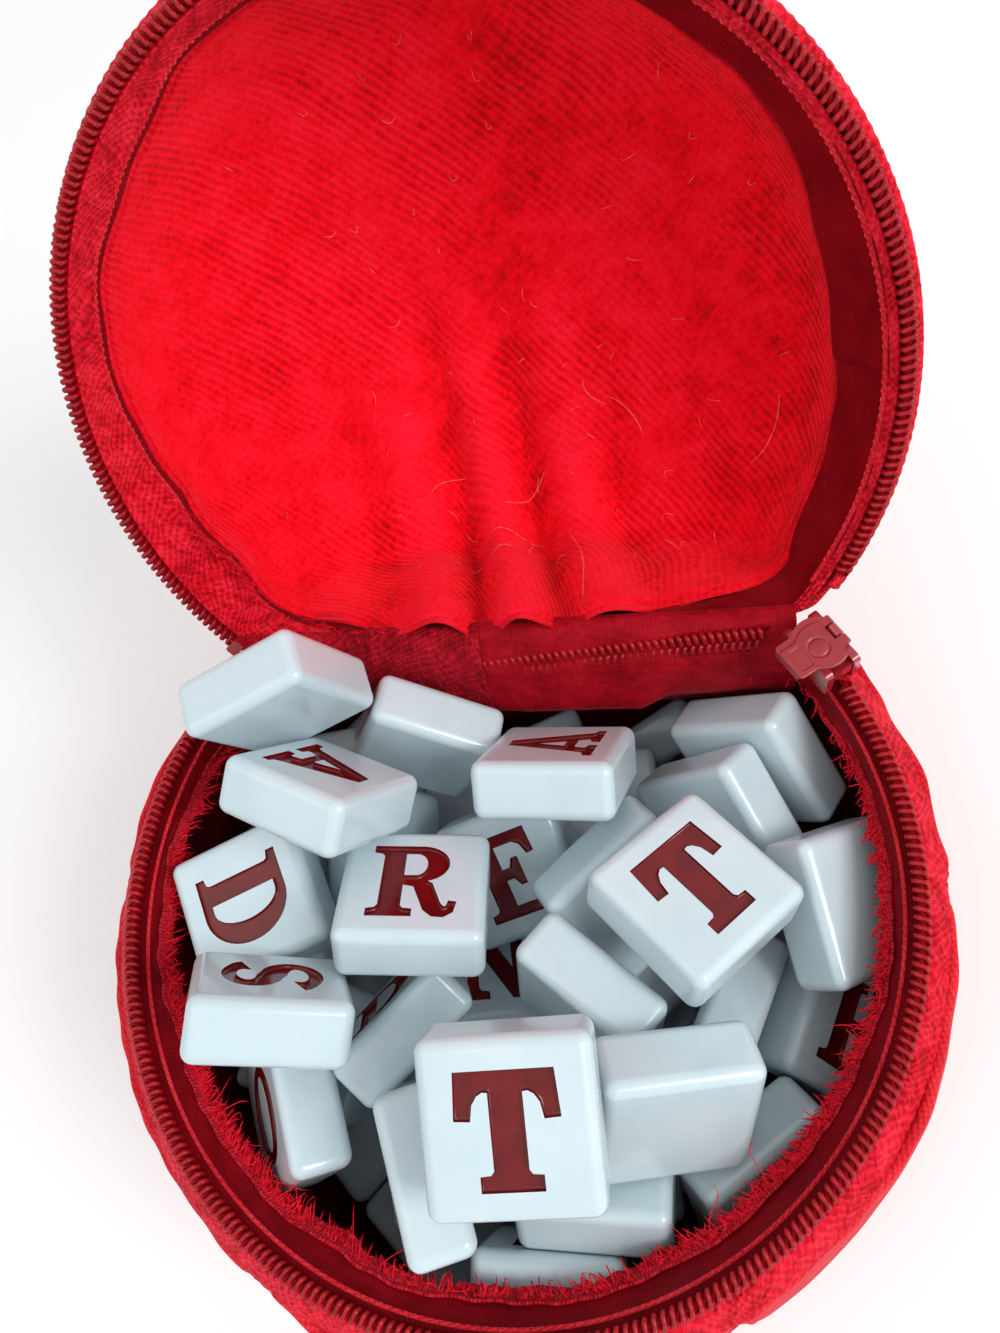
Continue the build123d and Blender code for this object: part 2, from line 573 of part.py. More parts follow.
def free_back(height):
    """Largest Y that a tile may reach at a height."""
    rise = height - RIM_HEIGHT
    if rise < -facing_low:
        return base_back(height, hollow_inset)
    if rise < CHAIN_WIDTH:
        return HINGE_BACK - CHAIN_WIDTH / 2 - WALL_PLAY
    return lid_back(rise, dome_inset)


levels = np.arange(0, RIM_HEIGHT + LID_RISE, LEVEL_STEP)
radii = np.array([free_radius(level) for level in levels])
backs = np.array([free_back(level) for level in levels])


def tile_axes(tilt, towards, turn):
    """Matrix whose columns are a tile's own X, Y and Z (through its letter's face)."""
    tipped = Rot(0, 0, towards) * Rot(0, tilt, 0) * Rot(0, 0, turn - towards)
    frame = Plane(tipped)
    return np.array([tuple(frame.x_dir), tuple(frame.y_dir), tuple(frame.z_dir)]).T


def push_in(centre, axes, floor):
    """Shift that brings a tile back inside the pouch and above a floor: zero when it is inside."""
    points = centre + skin @ axes.T
    x, y, z = points.T
    shift = np.zeros(3)
    radius = np.hypot(x, y)
    over = radius - np.interp(z, levels, radii)
    worst = over.argmax()
    if over[worst] > 0:
        shift[:2] -= points[worst, :2] / radius[worst] * over[worst]
    over = (y - np.interp(z, levels, backs)).max()
    shift[1] -= max(0.0, over)
    shift[2] += max(0.0, floor - z.min())
    return shift


def separating(axes, others):
    """Directions along which two boxes can be told apart."""
    crossed = np.cross(axes.T[:, None, :], others.T[None, :, :]).reshape(9, 3)
    length = np.linalg.norm(crossed, axis=1)
    kept = length > 1e-4
    return np.vstack([axes.T, others.T, crossed[kept] / length[kept, None]])


def half_width(normals, axes):
    """How far a tile reaches from its centre along each direction."""
    return ((normals @ axes) @ corners.T).max(axis=1)


def overlap(centre, axes, other, others, play=TILE_PLAY):
    """Shift that frees one tile from another, or None when they are clear of each other."""
    between = centre - other
    if between @ between > (tile_reach + play) ** 2:
        return None
    normals = separating(axes, others)
    reach = half_width(normals, axes) + half_width(normals, others) + play
    along = normals @ between
    depth = reach - np.abs(along)
    least = depth.argmin()
    if depth[least] <= 0:
        return None
    return normals[least] * math.copysign(depth[least], along[least])


def blocked_span(centre, axes, other, others):
    """Range of vertical moves of one tile that would bring it into another, or None."""
    between = centre - other
    if math.hypot(between[0], between[1]) > tile_reach + TILE_PLAY:
        return None
    normals = separating(axes, others)
    reach = half_width(normals, axes) + half_width(normals, others) + TILE_PLAY - 0.02
    along, rise = normals @ between, normals[:, 2]
    level = np.abs(rise) < 1e-9
    if (np.abs(along[level]) >= reach[level]).any():
        return None
    ends = np.array([(-reach - along)[~level], (reach - along)[~level]]) / rise[~level]
    low, high = ends.min(axis=0).max(), ends.max(axis=0).min()
    return (low, high) if low < high else None


def loosen(centres, axes, turns=600, pull=0.12):
    """Shift overlapping tiles apart, and keep each as near its own place as the others allow."""
    wanted = centres.copy()
    steep = wanted - (np.array(POUR_POINT) + [0, 0, RIM_HEIGHT])
    steep /= np.linalg.norm(steep, axis=1)[:, None]
    for turn in range(turns):
        shift = np.zeros_like(centres)
        touching = 0
        for i in range(len(centres)):
            for j in range(i + 1, len(centres)):
                free = overlap(centres[i], axes[i], centres[j], axes[j])
                if free is not None:
                    shift[i] += GIVE * free
                    shift[j] -= GIVE * free
                    touching += 1
            inside = push_in(centres[i], axes[i], HEAP_FLOOR)
            shift[i] += PUSH_BACK * inside
            touching += bool(inside @ inside > 1e-6)
        strength = pull * max(0.0, 1 - turn / (SETTLING * turns))
        if not touching and not strength:
            return turn
        back = wanted - centres
        along = (back * steep).sum(axis=1)[:, None] * steep
        centres += SLOWER * shift + strength * (back - SLIDING * along)
    return turns


def is_free(centre, axes, tiles):
    """Whether a tile would clear the pouch and all the other tiles."""
    nearest = min(np.linalg.norm(centre - other) for other, _ in tiles)
    if nearest < TILE_THICKNESS or np.abs(push_in(centre, axes, bag_floor)).max() > 0.01:
        return False
    return all(overlap(centre, axes, *tile) is None for tile in tiles)


def flat_layers(tiles):
    """Tiles that lie flat in layers at the bottom, each layer turned on the one below."""
    pitch = TILE + 1.5 * TILE_PLAY
    for layer in range(LAYERS):
        axes = tile_axes(0, 0, LAYER_TURN * layer)
        shift = 0.5 * (layer % 2)
        for row in range(-3, 4):
            for column in range(-3, 4):
                centre = axes @ np.array([(row + shift) * pitch, (column + shift / 2) * pitch, 0])
                centre[2] = bag_floor + half_tile[2] + layer * layer_height + 0.01
                if is_free(centre, axes, tiles):
                    tiles.append((centre, axes))


def fill_hollows(tiles):
    """More tiles in the hollows that the layers and the heap leave between them."""
    spots = np.arange(-FILL_SPAN, FILL_SPAN + 1, FILL_STEP)
    for height in np.arange(bag_floor + half_tile[2], RIM_HEIGHT - FILL_TOP, FILL_RISE):
        for tilt, towards in FILL_TILTS:
            axes = tile_axes(tilt, towards, FILL_TURN)
            for x in spots:
                for y in spots:
                    centre = np.array([x, y, height])
                    if is_free(centre, axes, tiles):
                        tiles.append((centre, axes))


def lower(tiles):
    """Let each tile that touches nothing down, the lowest first, until it rests on something."""
    for index in sorted(range(len(tiles)), key=lambda i: tiles[i][0][2]):
        centre, axes = tiles[index]
        rest = tiles[:index] + tiles[index + 1:]
        if any(overlap(centre, axes, *other, play=3 * TILE_PLAY) is not None for other in rest):
            continue
        drop = bag_floor - (centre + skin @ axes.T)[:, 2].min()
        for other in rest:
            span = blocked_span(centre, axes, *other)
            if span and span[1] < TILE_PLAY:
                drop = max(drop, min(0.0, span[1]))
        while drop < -0.01 and np.abs(push_in(centre + [0, 0, drop], axes, bag_floor)).max() > 0.01:
            drop *= 0.8
        centre[2] += min(0.0, drop)


axes_of = [tile_axes(*place[:3]) for place in HEAP.values()]
spread = RIM_RADIUS / HEAP_RIM
centres = np.array([place[3] for place in HEAP.values()]) * [spread, spread, 1] + [0, 0, RIM_HEIGHT]
turns = loosen(centres, axes_of)
tiles = list(zip(centres, axes_of))
flat_layers(tiles)
in_layers = len(tiles)
fill_hollows(tiles)
lower(tiles)
print("tiles", len(tiles), "in layers", in_layers - len(HEAP), "loosened in", turns)


# --- Tiles: their solids --------------------------------------------------------------------------------
blank = Box(TILE, TILE, TILE_THICKNESS)
blank = chamfer(blank.edges(), TILE_CHAMFER)


def tile_at(centre, axes):
    return Plane(tuple(centre), x_dir=tuple(axes[:, 0]), z_dir=tuple(axes[:, 2])).location * blank


solids = [tile_at(centre, axes) for centre, axes in tiles]
heap = dict(zip(HEAP, solids))
for name in LOOSE:
    save(f"tile_{name}", heap[name])
packed = [name for name in HEAP if name not in LOOSE]
save("tiles_heap_front", *[heap[name] for name in packed if HEAP[name][3][1] < -15])
save("tiles_heap_back", *[heap[name] for name in packed if HEAP[name][3][1] >= -15])
save("tiles_lower_layers", *solids[len(HEAP):])
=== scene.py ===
import json
import math

import bmesh
import bpy
import numpy as np
from mathutils import Matrix, Vector


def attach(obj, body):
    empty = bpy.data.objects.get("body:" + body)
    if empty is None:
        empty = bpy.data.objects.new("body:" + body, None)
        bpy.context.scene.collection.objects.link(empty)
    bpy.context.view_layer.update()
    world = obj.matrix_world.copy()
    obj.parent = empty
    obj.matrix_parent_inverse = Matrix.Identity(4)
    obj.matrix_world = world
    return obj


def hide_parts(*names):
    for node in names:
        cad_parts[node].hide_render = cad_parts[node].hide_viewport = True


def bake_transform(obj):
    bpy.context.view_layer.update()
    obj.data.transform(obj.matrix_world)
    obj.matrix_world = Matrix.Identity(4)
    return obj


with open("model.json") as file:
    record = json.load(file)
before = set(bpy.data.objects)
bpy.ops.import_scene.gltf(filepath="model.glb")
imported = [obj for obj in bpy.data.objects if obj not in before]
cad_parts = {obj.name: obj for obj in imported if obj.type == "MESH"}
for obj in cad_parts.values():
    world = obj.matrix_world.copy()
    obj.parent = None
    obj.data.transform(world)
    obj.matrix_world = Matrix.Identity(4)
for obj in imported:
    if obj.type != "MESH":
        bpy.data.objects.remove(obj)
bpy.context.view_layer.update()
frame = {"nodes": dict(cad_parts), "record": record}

# --- Camera -----------------------------------------------------------------------------------
# Looks steeply down into the open case from above its front right. The pose is worked out from
# the round rim and the two ends of the hinge.
scene = bpy.context.scene
scene.view_settings.view_transform = "Standard"
camera = bpy.data.objects.new("camera", bpy.data.cameras.new("camera"))
scene.collection.objects.link(camera)
scene.camera = camera
camera.data.lens, camera.data.sensor_width = 27.0, 36.0
camera.data.clip_start, camera.data.clip_end = 0.005, 20.0
camera.matrix_world = Matrix(((0.9757, 0.0429, 0.2149, 0.02964),
                              (0.0460, 0.9188, -0.3921, -0.02579),
                              (-0.2142, 0.3925, 0.8945, 0.18363),
                              (0, 0, 0, 1)))

# --- Fabric outside of the base ---------------------------------------------------------------
# Six gores of satin twill with a light pile, sewn to each other and round a small patch under the
# flat bottom. Their upper edge is folded in over the zip tape. Lengths here are in millimetres.
MM = 0.001
RIM_Z, HINGE_Y, OPEN = 58.0, 32.7, 120.5      # the zip plane, the hinge line and the lid's angle
BELLY, BELLY_Z = 59.0, 23.0                   # radius and height of the widest part
FOLDED, FOLD_Z, FOOT = 56.0, 53.2, 36.0       # the folded edge, and the radius of the flat bottom
LID_FOLD, LID_RISE = 4.8, 36.0                # from the zip plane to the lid's folded edge and top
BASE_LEAN, LID_LEAN = 18.0, 8.0               # slope of the back walls, in degrees
GORES, PATCH = 6, 7.0                         # number of gores, and the radius of the patch
FABRIC, HEMMED = 1.2, 0.6                     # thickness of the patch, and of the gores


def bumps(x, y, z=0.0, seed=0, count=14):
    """Smooth uneven field from -1 to 1: a sum of sine waves of random direction and phase, whose
    argument is a plain linear function of the coordinates."""
    draw = np.random.default_rng(seed)
    waves = draw.normal(size=(count, 3))
    phases = draw.uniform(0, 2 * math.pi, count)
    total = sum(np.sin(a * x + b * y + c * z + p) for (a, b, c), p in zip(waves, phases))
    return total / math.sqrt(count) / 1.5


def soft_min(a, b, reach):
    """The smaller of two lengths, rounded over where they are within the reach of each other."""
    h = np.clip(0.5 + 0.5 * (b - a) / reach, 0, 1)
    return b + (a - b) * h - reach * h * (1 - h)


def grid_mesh(name, points, cloth, closed=False):
    """Surface through a grid of points (rows, columns, 3) in millimetres. Its UV map holds the
    cloth coordinates of each point, also in millimetres; a closed grid joins its last row to the
    first, and then cloth has one row more."""
    rows, columns = points.shape[:2]
    last = rows if closed else rows - 1
    i, j = np.meshgrid(np.arange(last), np.arange(columns - 1), indexing="ij")
    corners = [(i, j), (i + 1, j), (i + 1, j + 1), (i, j + 1)]
    faces = np.stack([(a % rows) * columns + b for a, b in corners], axis=-1).reshape(-1, 4)
    uv = np.stack([cloth[a, b] for a, b in corners], axis=-2).reshape(-1, 2)
    return face_mesh(name, points.reshape(-1, 3), faces, uv)


def face_mesh(name, vertices, faces, uv=None):
    """Mesh from vertices in millimetres and four-sided faces, smooth, with a UV for each corner."""
    mesh = bpy.data.meshes.new(name)
    mesh.vertices.add(len(vertices))
    mesh.vertices.foreach_set("co", (np.asarray(vertices, np.float32) * MM).ravel())
    mesh.loops.add(faces.size)
    mesh.loops.foreach_set("vertex_index", faces.astype(np.int32).ravel())
    mesh.polygons.add(len(faces))
    mesh.polygons.foreach_set("loop_start", np.arange(0, faces.size, 4, dtype=np.int32))
    mesh.polygons.foreach_set("use_smooth", np.ones(len(faces), bool))
    if uv is not None:
        mesh.uv_layers.new(name="cloth").data.foreach_set("uv", np.asarray(uv, np.float32).ravel())
    mesh.update(calc_edges=True)
    mesh.validate()
    return mesh


def add(name, mesh, material, body, slot, *nodes):
    """Put a finished mesh in the scene as a piece of a body, in place of its CAD nodes. A piece
    without a body is left unattached."""
    piece = bpy.data.objects.new(name, mesh)
    scene.collection.objects.link(piece)
    mesh.materials.append(material)
    if body:
        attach(piece, body)
    if nodes:
        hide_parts(*nodes)
    return piece


def solidify(piece, thickness, offset=-1.0):
    """Give a surface its thickness, inwards unless the offset says otherwise."""
    wall = piece.modifiers.new("thickness", "SOLIDIFY")
    wall.thickness, wall.offset = thickness * MM, offset


def opened(points):
    """Turn points of the closed lid about the hinge line to where the lid stands open."""
    turn = math.radians(OPEN)
    y, z = points[..., 1] - HINGE_Y, points[..., 2] - RIM_Z
    return np.stack([points[..., 0], HINGE_Y + y * math.cos(turn) + z * math.sin(turn),
                     RIM_Z - y * math.sin(turn) + z * math.cos(turn)], axis=-1)


def placed(points, body):
    """Points of the base as they are. Those of the lid are given by their rise above the zip plane:
    they are lifted to it and opened with the lid."""
    return opened(points + [0, 0, RIM_Z]) if body == "pouch_lid" else points


def polar(radius, azimuth, height):
    """Points from radius, azimuth in degrees and height; the three broadcast to one shape."""
    turn = np.radians(azimuth)
    parts = np.broadcast_arrays(radius * np.cos(turn), radius * np.sin(turn), height)
    return np.stack(parts, axis=-1).astype(float)


def wall_limit(radius, azimuth, back, reach=4.0):
    """Radius of a round side whose back is cut off straight at y = back, with rounded corners."""
    sine = np.sin(np.radians(azimuth))
    cut = np.where(sine > 0.05, back / np.maximum(sine, 0.05), 1e3)
    return soft_min(radius, cut, reach)


def resample(line, count):
    """Points spaced evenly along a polyline, with their distance from its start."""
    steps = np.concatenate([[0], np.cumsum(np.linalg.norm(np.diff(line, axis=0), axis=1))])
    spots = np.linspace(0, steps[-1], count)
    return np.stack([np.interp(spots, steps, line[:, k]) for k in range(2)], axis=1), spots


def bow(centre, radius, start, end, count=24):
    """Points of an arc in a profile, in degrees from outwards towards up."""
    turn = np.radians(np.linspace(start, end, count))
    return np.stack([centre[0] + radius * np.cos(turn), centre[1] + radius * np.sin(turn)], axis=1)


def base_profile(inset, top):
    """Profile (radius, height) of the base from its middle: flat bottom, foot arc, belly arc."""
    swell = BELLY - FOLDED
    sweep = (swell ** 2 + (FOLD_Z - BELLY_Z) ** 2) / (2 * swell)
    end = math.degrees(math.asin((top - BELLY_Z) / (sweep - inset)))
    return np.vstack([[[0, inset], [FOOT, inset]], bow((FOOT, BELLY_Z), BELLY_Z - inset, -88, 0),
                      bow((BELLY - sweep, BELLY_Z), sweep - inset, 1, end)])


def dome_profile(inset, start):
    """Profile (radius, rise) of the closed lid from its top down to a rise: crown and shoulder."""
    side, shoulder, crown = 53.3, 22.0, 79.8
    first = math.degrees(math.asin(max(0.0, start - LID_FOLD) / (shoulder - inset)))
    return np.vstack([bow((0, LID_RISE - crown), crown - inset, 90, 58),
                      bow((side - shoulder, LID_FOLD), shoulder - inset, 57, first)])


def lean_back(profile, azimuth, lean, inset, sign):
    """Radii of a profile at each azimuth once the leaning back wall has cut it."""
    drop = RIM_Z - profile[:, 1] if sign < 0 else profile[:, 1]
    back = HINGE_Y + drop * math.tan(math.radians(lean)) - inset
    side = np.maximum.accumulate(profile[:, 0]) if sign < 0 else profile[:, 0]
    full = np.maximum(side, 1e-6)
    return profile[:, 0] * np.clip(wall_limit(full, azimuth[:, None], back) / full, 0, 1)


SEAM_DIP, SEAM_SPREAD = 0.9, 1.8              # how deep and how far a seam draws the cloth in


def gore(index, profile, along, lean, sign, seed):
    """One gore: the profile turned over a sixth of a turn, drawn in beside its seams, with slow
    wrinkles, and gathered into small pleats near its folded edge."""
    azimuth = np.linspace(index * 60 + 0.12, index * 60 + 59.88, 72)
    radius = lean_back(profile, azimuth, lean, 0.0, sign)
    beside = np.minimum(azimuth - index * 60, index * 60 + 60 - azimuth)[:, None]
    apart = np.radians(beside) * radius
    puff = -SEAM_DIP * np.exp(-(apart / SEAM_SPREAD) ** 2) * np.clip(radius / 20, 0, 1)
    level = profile[None, :, 1]
    near_edge = np.clip((level - 30) / 20 if sign < 0 else 1 - (level - LID_FOLD) / 15, 0, 1) ** 1.5
    ripple = 0.45 * bumps(np.radians(azimuth)[:, None] * 7, level / 9, seed=seed)
    pleat = 0.35 * bumps(np.radians(azimuth)[:, None] * 26, level / 16, seed=seed + 5) * near_edge
    out = puff + (ripple + pleat) * np.clip(radius / 30, 0, 1) * (1 - 0.6 * (radius < FOOT))
    points = polar(radius + out, azimuth[:, None], np.broadcast_to(level, radius.shape))
    cloth = np.stack([np.radians(azimuth - index * 60 - 30)[:, None] * np.full_like(radius, 45),
                      np.broadcast_to(along, radius.shape)], axis=-1)
    return points, cloth


def feed(socket, value):
    """Give a socket a value, or join it to another socket."""
    if isinstance(value, bpy.types.NodeSocket):
        socket.id_data.links.new(value, socket)
    else:
        socket.default_value = value


def set_inputs(node, **values):
    """Feed sockets by name, with underscores for spaces."""
    for name, value in values.items():
        feed(node.inputs[name.replace("_", " ")], value)


def new_node(tree, kind, **values):
    """Shader node of a kind, with its sockets fed."""
    node = tree.nodes.new("ShaderNode" + kind)
    set_inputs(node, **values)
    return node


def new_material(name):
    """New material with its node tree and its shader."""
    material = bpy.data.materials.new(name)
    material.use_nodes = True
    return material, material.node_tree, material.node_tree.nodes["Principled BSDF"]


def maths(kind):
    """Function that adds a Math node of a kind for sockets or numbers, and gives its output."""
    def on(first, second=0.0):
        tree = (first if isinstance(first, bpy.types.NodeSocket) else second).id_data
        node = tree.nodes.new("ShaderNodeMath")
        node.operation = kind
        for socket, value in zip(node.inputs, (first, second)):
            feed(socket, value)
        return node.outputs[0]
    return on


plus, minus, times, over = maths("ADD"), maths("SUBTRACT"), maths("MULTIPLY"), maths("DIVIDE")
sine, largest, smallest = maths("SINE"), maths("MAXIMUM"), maths("MINIMUM")


def noise(vector, scale, detail, roughness=0.5):
    """Noise over a vector's socket; gives its factor."""
    return new_node(vector.id_data, "TexNoise", Vector=vector, Scale=scale, Detail=detail,
                    Roughness=roughness).outputs["Fac"]


def bump(height, strength, distance):
    """Normal of a bump from a height, with its distance in millimetres."""
    return new_node(height.id_data, "Bump", Height=height, Strength=strength,
                    Distance=distance * MM).outputs["Normal"]


def ramp(source, *stops):
    """Colour ramp on a socket: stops are (position, colour)."""
    node = source.id_data.nodes.new("ShaderNodeValToRGB")
    points = node.color_ramp.elements
    while len(points) < len(stops):
        points.new(0.5)
    for point, (spot, colour) in zip(points, stops):
        point.position, point.color = spot, (*colour, 1)
    feed(node.inputs[0], source)
    return node.outputs["Color"]


def group(name, inputs, outputs):
    """Node group of the cloth coordinates and float inputs, with its inner inputs and outputs."""
    tree = bpy.data.node_groups.new(name, "ShaderNodeTree")
    tree.interface.new_socket("Cloth", in_out="INPUT", socket_type="NodeSocketVector")
    for way, labels in (("INPUT", inputs), ("OUTPUT", outputs)):
        for label in labels:
            tree.interface.new_socket(label, in_out=way, socket_type="NodeSocketFloat")
    return tree, tree.nodes.new("NodeGroupInput").outputs, tree.nodes.new("NodeGroupOutput").inputs


def turned_cloth(tree, enter):
    """The group's cloth coordinates turned by its angle: the vector and its parts."""
    turn = new_node(tree, "VectorRotate", Vector=enter["Cloth"], Angle=enter["Angle"])
    turn.rotation_type = "Z_AXIS"
    return turn.outputs[0], new_node(tree, "SeparateXYZ", Vector=turn.outputs[0]).outputs


def ribs_group():
    """Diagonal ribs of a twill: a sine across the cloth whose phase wanders with a noise, broken
    into short floats by a second, finer wave along the rib."""
    tree, enter, leave = group("ribs", ["Pitch", "Angle", "Wander", "Break"], ["Height"])
    turned, parts = turned_cloth(tree, enter)
    wander = times(noise(turned, 0.09, 3.0), enter["Wander"])
    across = over(plus(parts["X"], wander), enter["Pitch"])
    rib = sine(times(across, 2 * math.pi))
    step = plus(times(over(parts["Y"], enter["Pitch"]), 7.0), times(across, 3.0))
    thread = times(sine(step), enter["Break"])
    feed(leave["Height"], plus(times(rib, 0.5), times(thread, 0.5)))
    return tree


def fuzz_group():
    """Short pile lying in one direction: a fine noise stretched along it, a coarse one for lighter
    and darker patches, and a slow one that tells where the ribs are worn away."""
    tree, enter, leave = group("fuzz", ["Fineness", "Angle", "Stretch"], ["Height", "Patches", "Worn"])
    _, parts = turned_cloth(tree, enter)
    lying = new_node(tree, "CombineXYZ", X=parts["X"], Y=over(parts["Y"], enter["Stretch"]), Z=0.37)
    feed(leave["Height"], noise(lying.outputs[0], enter["Fineness"], 4.0, 0.65))
    feed(leave["Patches"], noise(enter["Cloth"], 0.16, 3.0))
    worn = times(minus(noise(enter["Cloth"], 0.045, 2.0), 0.40), 5.0)
    feed(leave["Worn"], smallest(largest(worn, 0.0), 1.0))
    return tree


ribs, fuzz = ribs_group(), fuzz_group()


def shared(tree, group_tree, **values):
    """Outputs of a shared node group in a material's tree, with its own values."""
    node = tree.nodes.new("ShaderNodeGroup")
    node.node_tree = group_tree
    set_inputs(node, **values)
    return node.outputs


def cloth_material(name, dark, plain, bright, pitch, angle, rib, pile, fineness, stretch, roughness,
                   sheen, depth, wander=2.5, broken=0.6, wear=0.0):
    """Woven or piled cloth in the cloth coordinates of the UV map, which are in millimetres: ribs
    and pile together give both the height and the colour, with slow lighter and darker patches. A
    mesh can add painted light and shade to the colour in a float attribute, lighter above nought."""
    material, tree, shader = new_material(name)
    source, painted_shading = tree.nodes.new("ShaderNodeUVMap"), tree.nodes.new("ShaderNodeAttribute")
    source.uv_map, painted_shading.attribute_name = "cloth", "painted_shading"
    ribbed = shared(tree, ribs, Cloth=source.outputs[0], Pitch=pitch, Angle=math.radians(angle),
                    Wander=wander, Break=broken)
    piled = shared(tree, fuzz, Cloth=source.outputs[0], Fineness=fineness,
                   Angle=math.radians(angle + 90), Stretch=stretch)
    kept = minus(1.0, times(piled["Worn"], wear))
    height = plus(times(ribbed["Height"], times(kept, rib)), times(minus(piled["Height"], 0.5), 2 * pile))
    patches = times(minus(piled["Patches"], 0.5), 0.9)
    # The mesh's own attribute adds painted light and shade to the colour.
    shade = plus(plus(plus(times(height, 0.5), 0.5), patches), painted_shading.outputs["Fac"])
    set_inputs(shader, Base_Color=ramp(shade, (0.12, dark), (0.5, plain), (0.92, bright)),
               Normal=bump(height, 0.9, depth), Roughness=roughness, Sheen_Weight=sheen,
               Sheen_Roughness=0.4, Sheen_Tint=(1.0, 0.12, 0.16, 1), Specular_IOR_Level=0.08)
    return material


twill = cloth_material("satin_twill", (0.42, 0.004, 0.010), (0.66, 0.016, 0.028), (0.84, 0.050, 0.065),
                       pitch=0.62, angle=52, rib=0.5, pile=0.7, fineness=2.4, stretch=2.0,
                       roughness=0.55, sheen=0.3, depth=0.16)


def roll(points, turn_in, count=7, radius=0.7):
    """Add to the last column of a grid of points a small roll that folds the cloth's edge inwards:
    each point is swung about a centre one radius inside, first up or down and then back."""
    edge = points[:, -1]
    inward = -edge * [1, 1, 0] / np.linalg.norm(edge[:, :2], axis=1)[:, None]
    up = np.array([0, 0, turn_in])
    turns = np.linspace(0, math.pi, count + 1)[1:, None, None]
    added = edge + radius * (inward * (1 - np.cos(turns)) + up * np.sin(turns))
    return np.concatenate([points, np.moveaxis(added, 0, 1)], axis=1)


def extend(cloth, count=7, step=0.3):
    """Cloth coordinates for the columns that a roll adds."""
    more = np.repeat(cloth[:, -1:], count, axis=1)
    more[..., 1] += step * np.arange(1, count + 1)
    return np.concatenate([cloth, more], axis=1)


def outside(half, line, along, lean, sign, seed):
    """Gores of one half, and the round patch over the point where they meet, which is the profile
    turned all the way round. The sign is -1 for the base and 1 for the lid."""
    body, in_ring = "pouch_" + half, line[:, 0] > PATCH
    for index in range(GORES):
        points, cloth = gore(index, line[in_ring], along[in_ring], lean, sign, seed + index)
        mesh = grid_mesh(f"{half}_gore_{index + 1}", placed(roll(points, -sign), body)[:, ::-sign],
                         extend(cloth)[:, ::-sign])
        solidify(add(mesh.name, mesh, twill, body, "satin_twill", f"{half}_panel_{index + 1}"), HEMMED)
    azimuth = np.linspace(0, 360, 49)[:-1]
    points = polar(line[None, ~in_ring, 0], azimuth[:, None], line[None, ~in_ring, 1])
    turn = np.radians(np.append(azimuth, 360))[:, None]
    reach = along[None, ~in_ring]
    cloth = np.stack([reach * np.cos(turn), reach * np.sin(turn)], axis=-1)
    mesh = grid_mesh(f"{half}_patch_cloth", placed(points, body)[:, ::-sign], cloth, closed=True)
    solidify(add(mesh.name, mesh, twill, body, "satin_twill", f"{half}_patch"), FABRIC)


base_line, base_along = resample(base_profile(0.0, FOLD_Z - 0.6), 84)
outside("base", base_line, base_along, BASE_LEAN, -1, 20)

# --- Fabric outside of the lid ------------------------------------------------------------------
# The same six gores and patch, over a lower dome. Each gore is worked out on the closed lid and
# then turned about the hinge line to where the lid stands open.
lid_line, lid_along = resample(dome_profile(0.0, LID_FOLD), 60)
outside("lid", lid_line, lid_along, LID_LEAN, 1, 40)

# --- Plush lining of the lid -----------------------------------------------------------------------
# One bowl of short red plush with diagonal ribs, sewn in along the side. Its edge hangs low across
# the hinge, where it is gathered into soft folds, and hangs furthest in from the zip on the right.
PLUSH_INSET, PLUSH_BACK, PLUSH_CORNER = 3.8, 3.4, 7.0     # inside the dome, its back and corners
BOWL_ROWS, BOWL_COLUMNS = 360, 70
FOLD_DEPTH, FOLD_PITCH, FOLD_SPAN = 3.1, 2.15, 22.0       # the folds above the hinge


def plush_edge(azimuth):
    """Radius and rise of the plush's edge at each azimuth, before the back wall cuts it, with a
    slow and a quick wave along it."""
    spots = [0, 30, 44, 58, 84, 106, 118, 134, 152, 168, 185, 270, 360]
    flutter = 0.45 * np.sin(np.radians(azimuth) * 9 + 1) + 0.12 * np.sin(np.radians(azimuth) * 23)
    edge = np.interp(azimuth, spots, [45, 47.2, 48.2, 49, 49, 49, 49, 48.0, 46.4, 46.6, 49.0, 49.2, 45])
    lift = np.interp(azimuth, spots, [10.8, 8.8, 6.0, 2.2, 0.4, 0.0, 1.2, 5.4, 9.0, 8.8, 6.6, 7.0, 10.8])
    return edge + flutter, lift - 0.6 * flutter


plush_azimuth = np.linspace(0, 360, BOWL_ROWS + 1)[:-1]
edge_radius, edge_rise = plush_edge(plush_azimuth)
bowl, bowl_along = resample(dome_profile(PLUSH_INSET, 6.0), BOWL_COLUMNS)
share = np.linspace(0, 1, BOWL_COLUMNS)[None, :]
rim_share = np.clip((share - 0.72) / 0.28, 0, 1) ** 1.4
bowl_back = HINGE_Y + bowl[None, :, 1] * math.tan(math.radians(LID_LEAN)) - PLUSH_BACK
radius = wall_limit(np.maximum(bowl[None, :, 0], 1e-3), plush_azimuth[:, None], bowl_back, PLUSH_CORNER)
limit = wall_limit(edge_radius, plush_azimuth, HINGE_Y - 2.0, PLUSH_CORNER)
radius = radius + (limit - radius[:, -1])[:, None] * rim_share
rise = bowl[None, :, 1] + (edge_rise - bowl[-1, 1])[:, None] * rim_share
turn = np.radians(plush_azimuth)[:, None]
east, north = radius * np.cos(turn), radius * np.sin(turn)
near_hinge = np.clip((north + 16) / 36, 0, 1) ** 1.3
middle = np.exp(-((east + 4) / FOLD_SPAN) ** 2)
sway = east + 0.25 * (rise - 10)
wave = np.sin(sway / FOLD_PITCH + 1.2 + 0.3 * np.sin(sway / 5)) * middle * near_hinge
folds = (FOLD_DEPTH * wave + 0.8 * near_hinge) * (1 - 0.5 * np.clip((-8 - east) / 8, 0, 1))
slack = 1.2 * bumps(east / 14, north / 14, seed=3) + 0.2 * bumps(east / 5, north / 5, seed=4)
swell = 1.5 * np.exp(-((share - 0.88) / 0.07) ** 2)
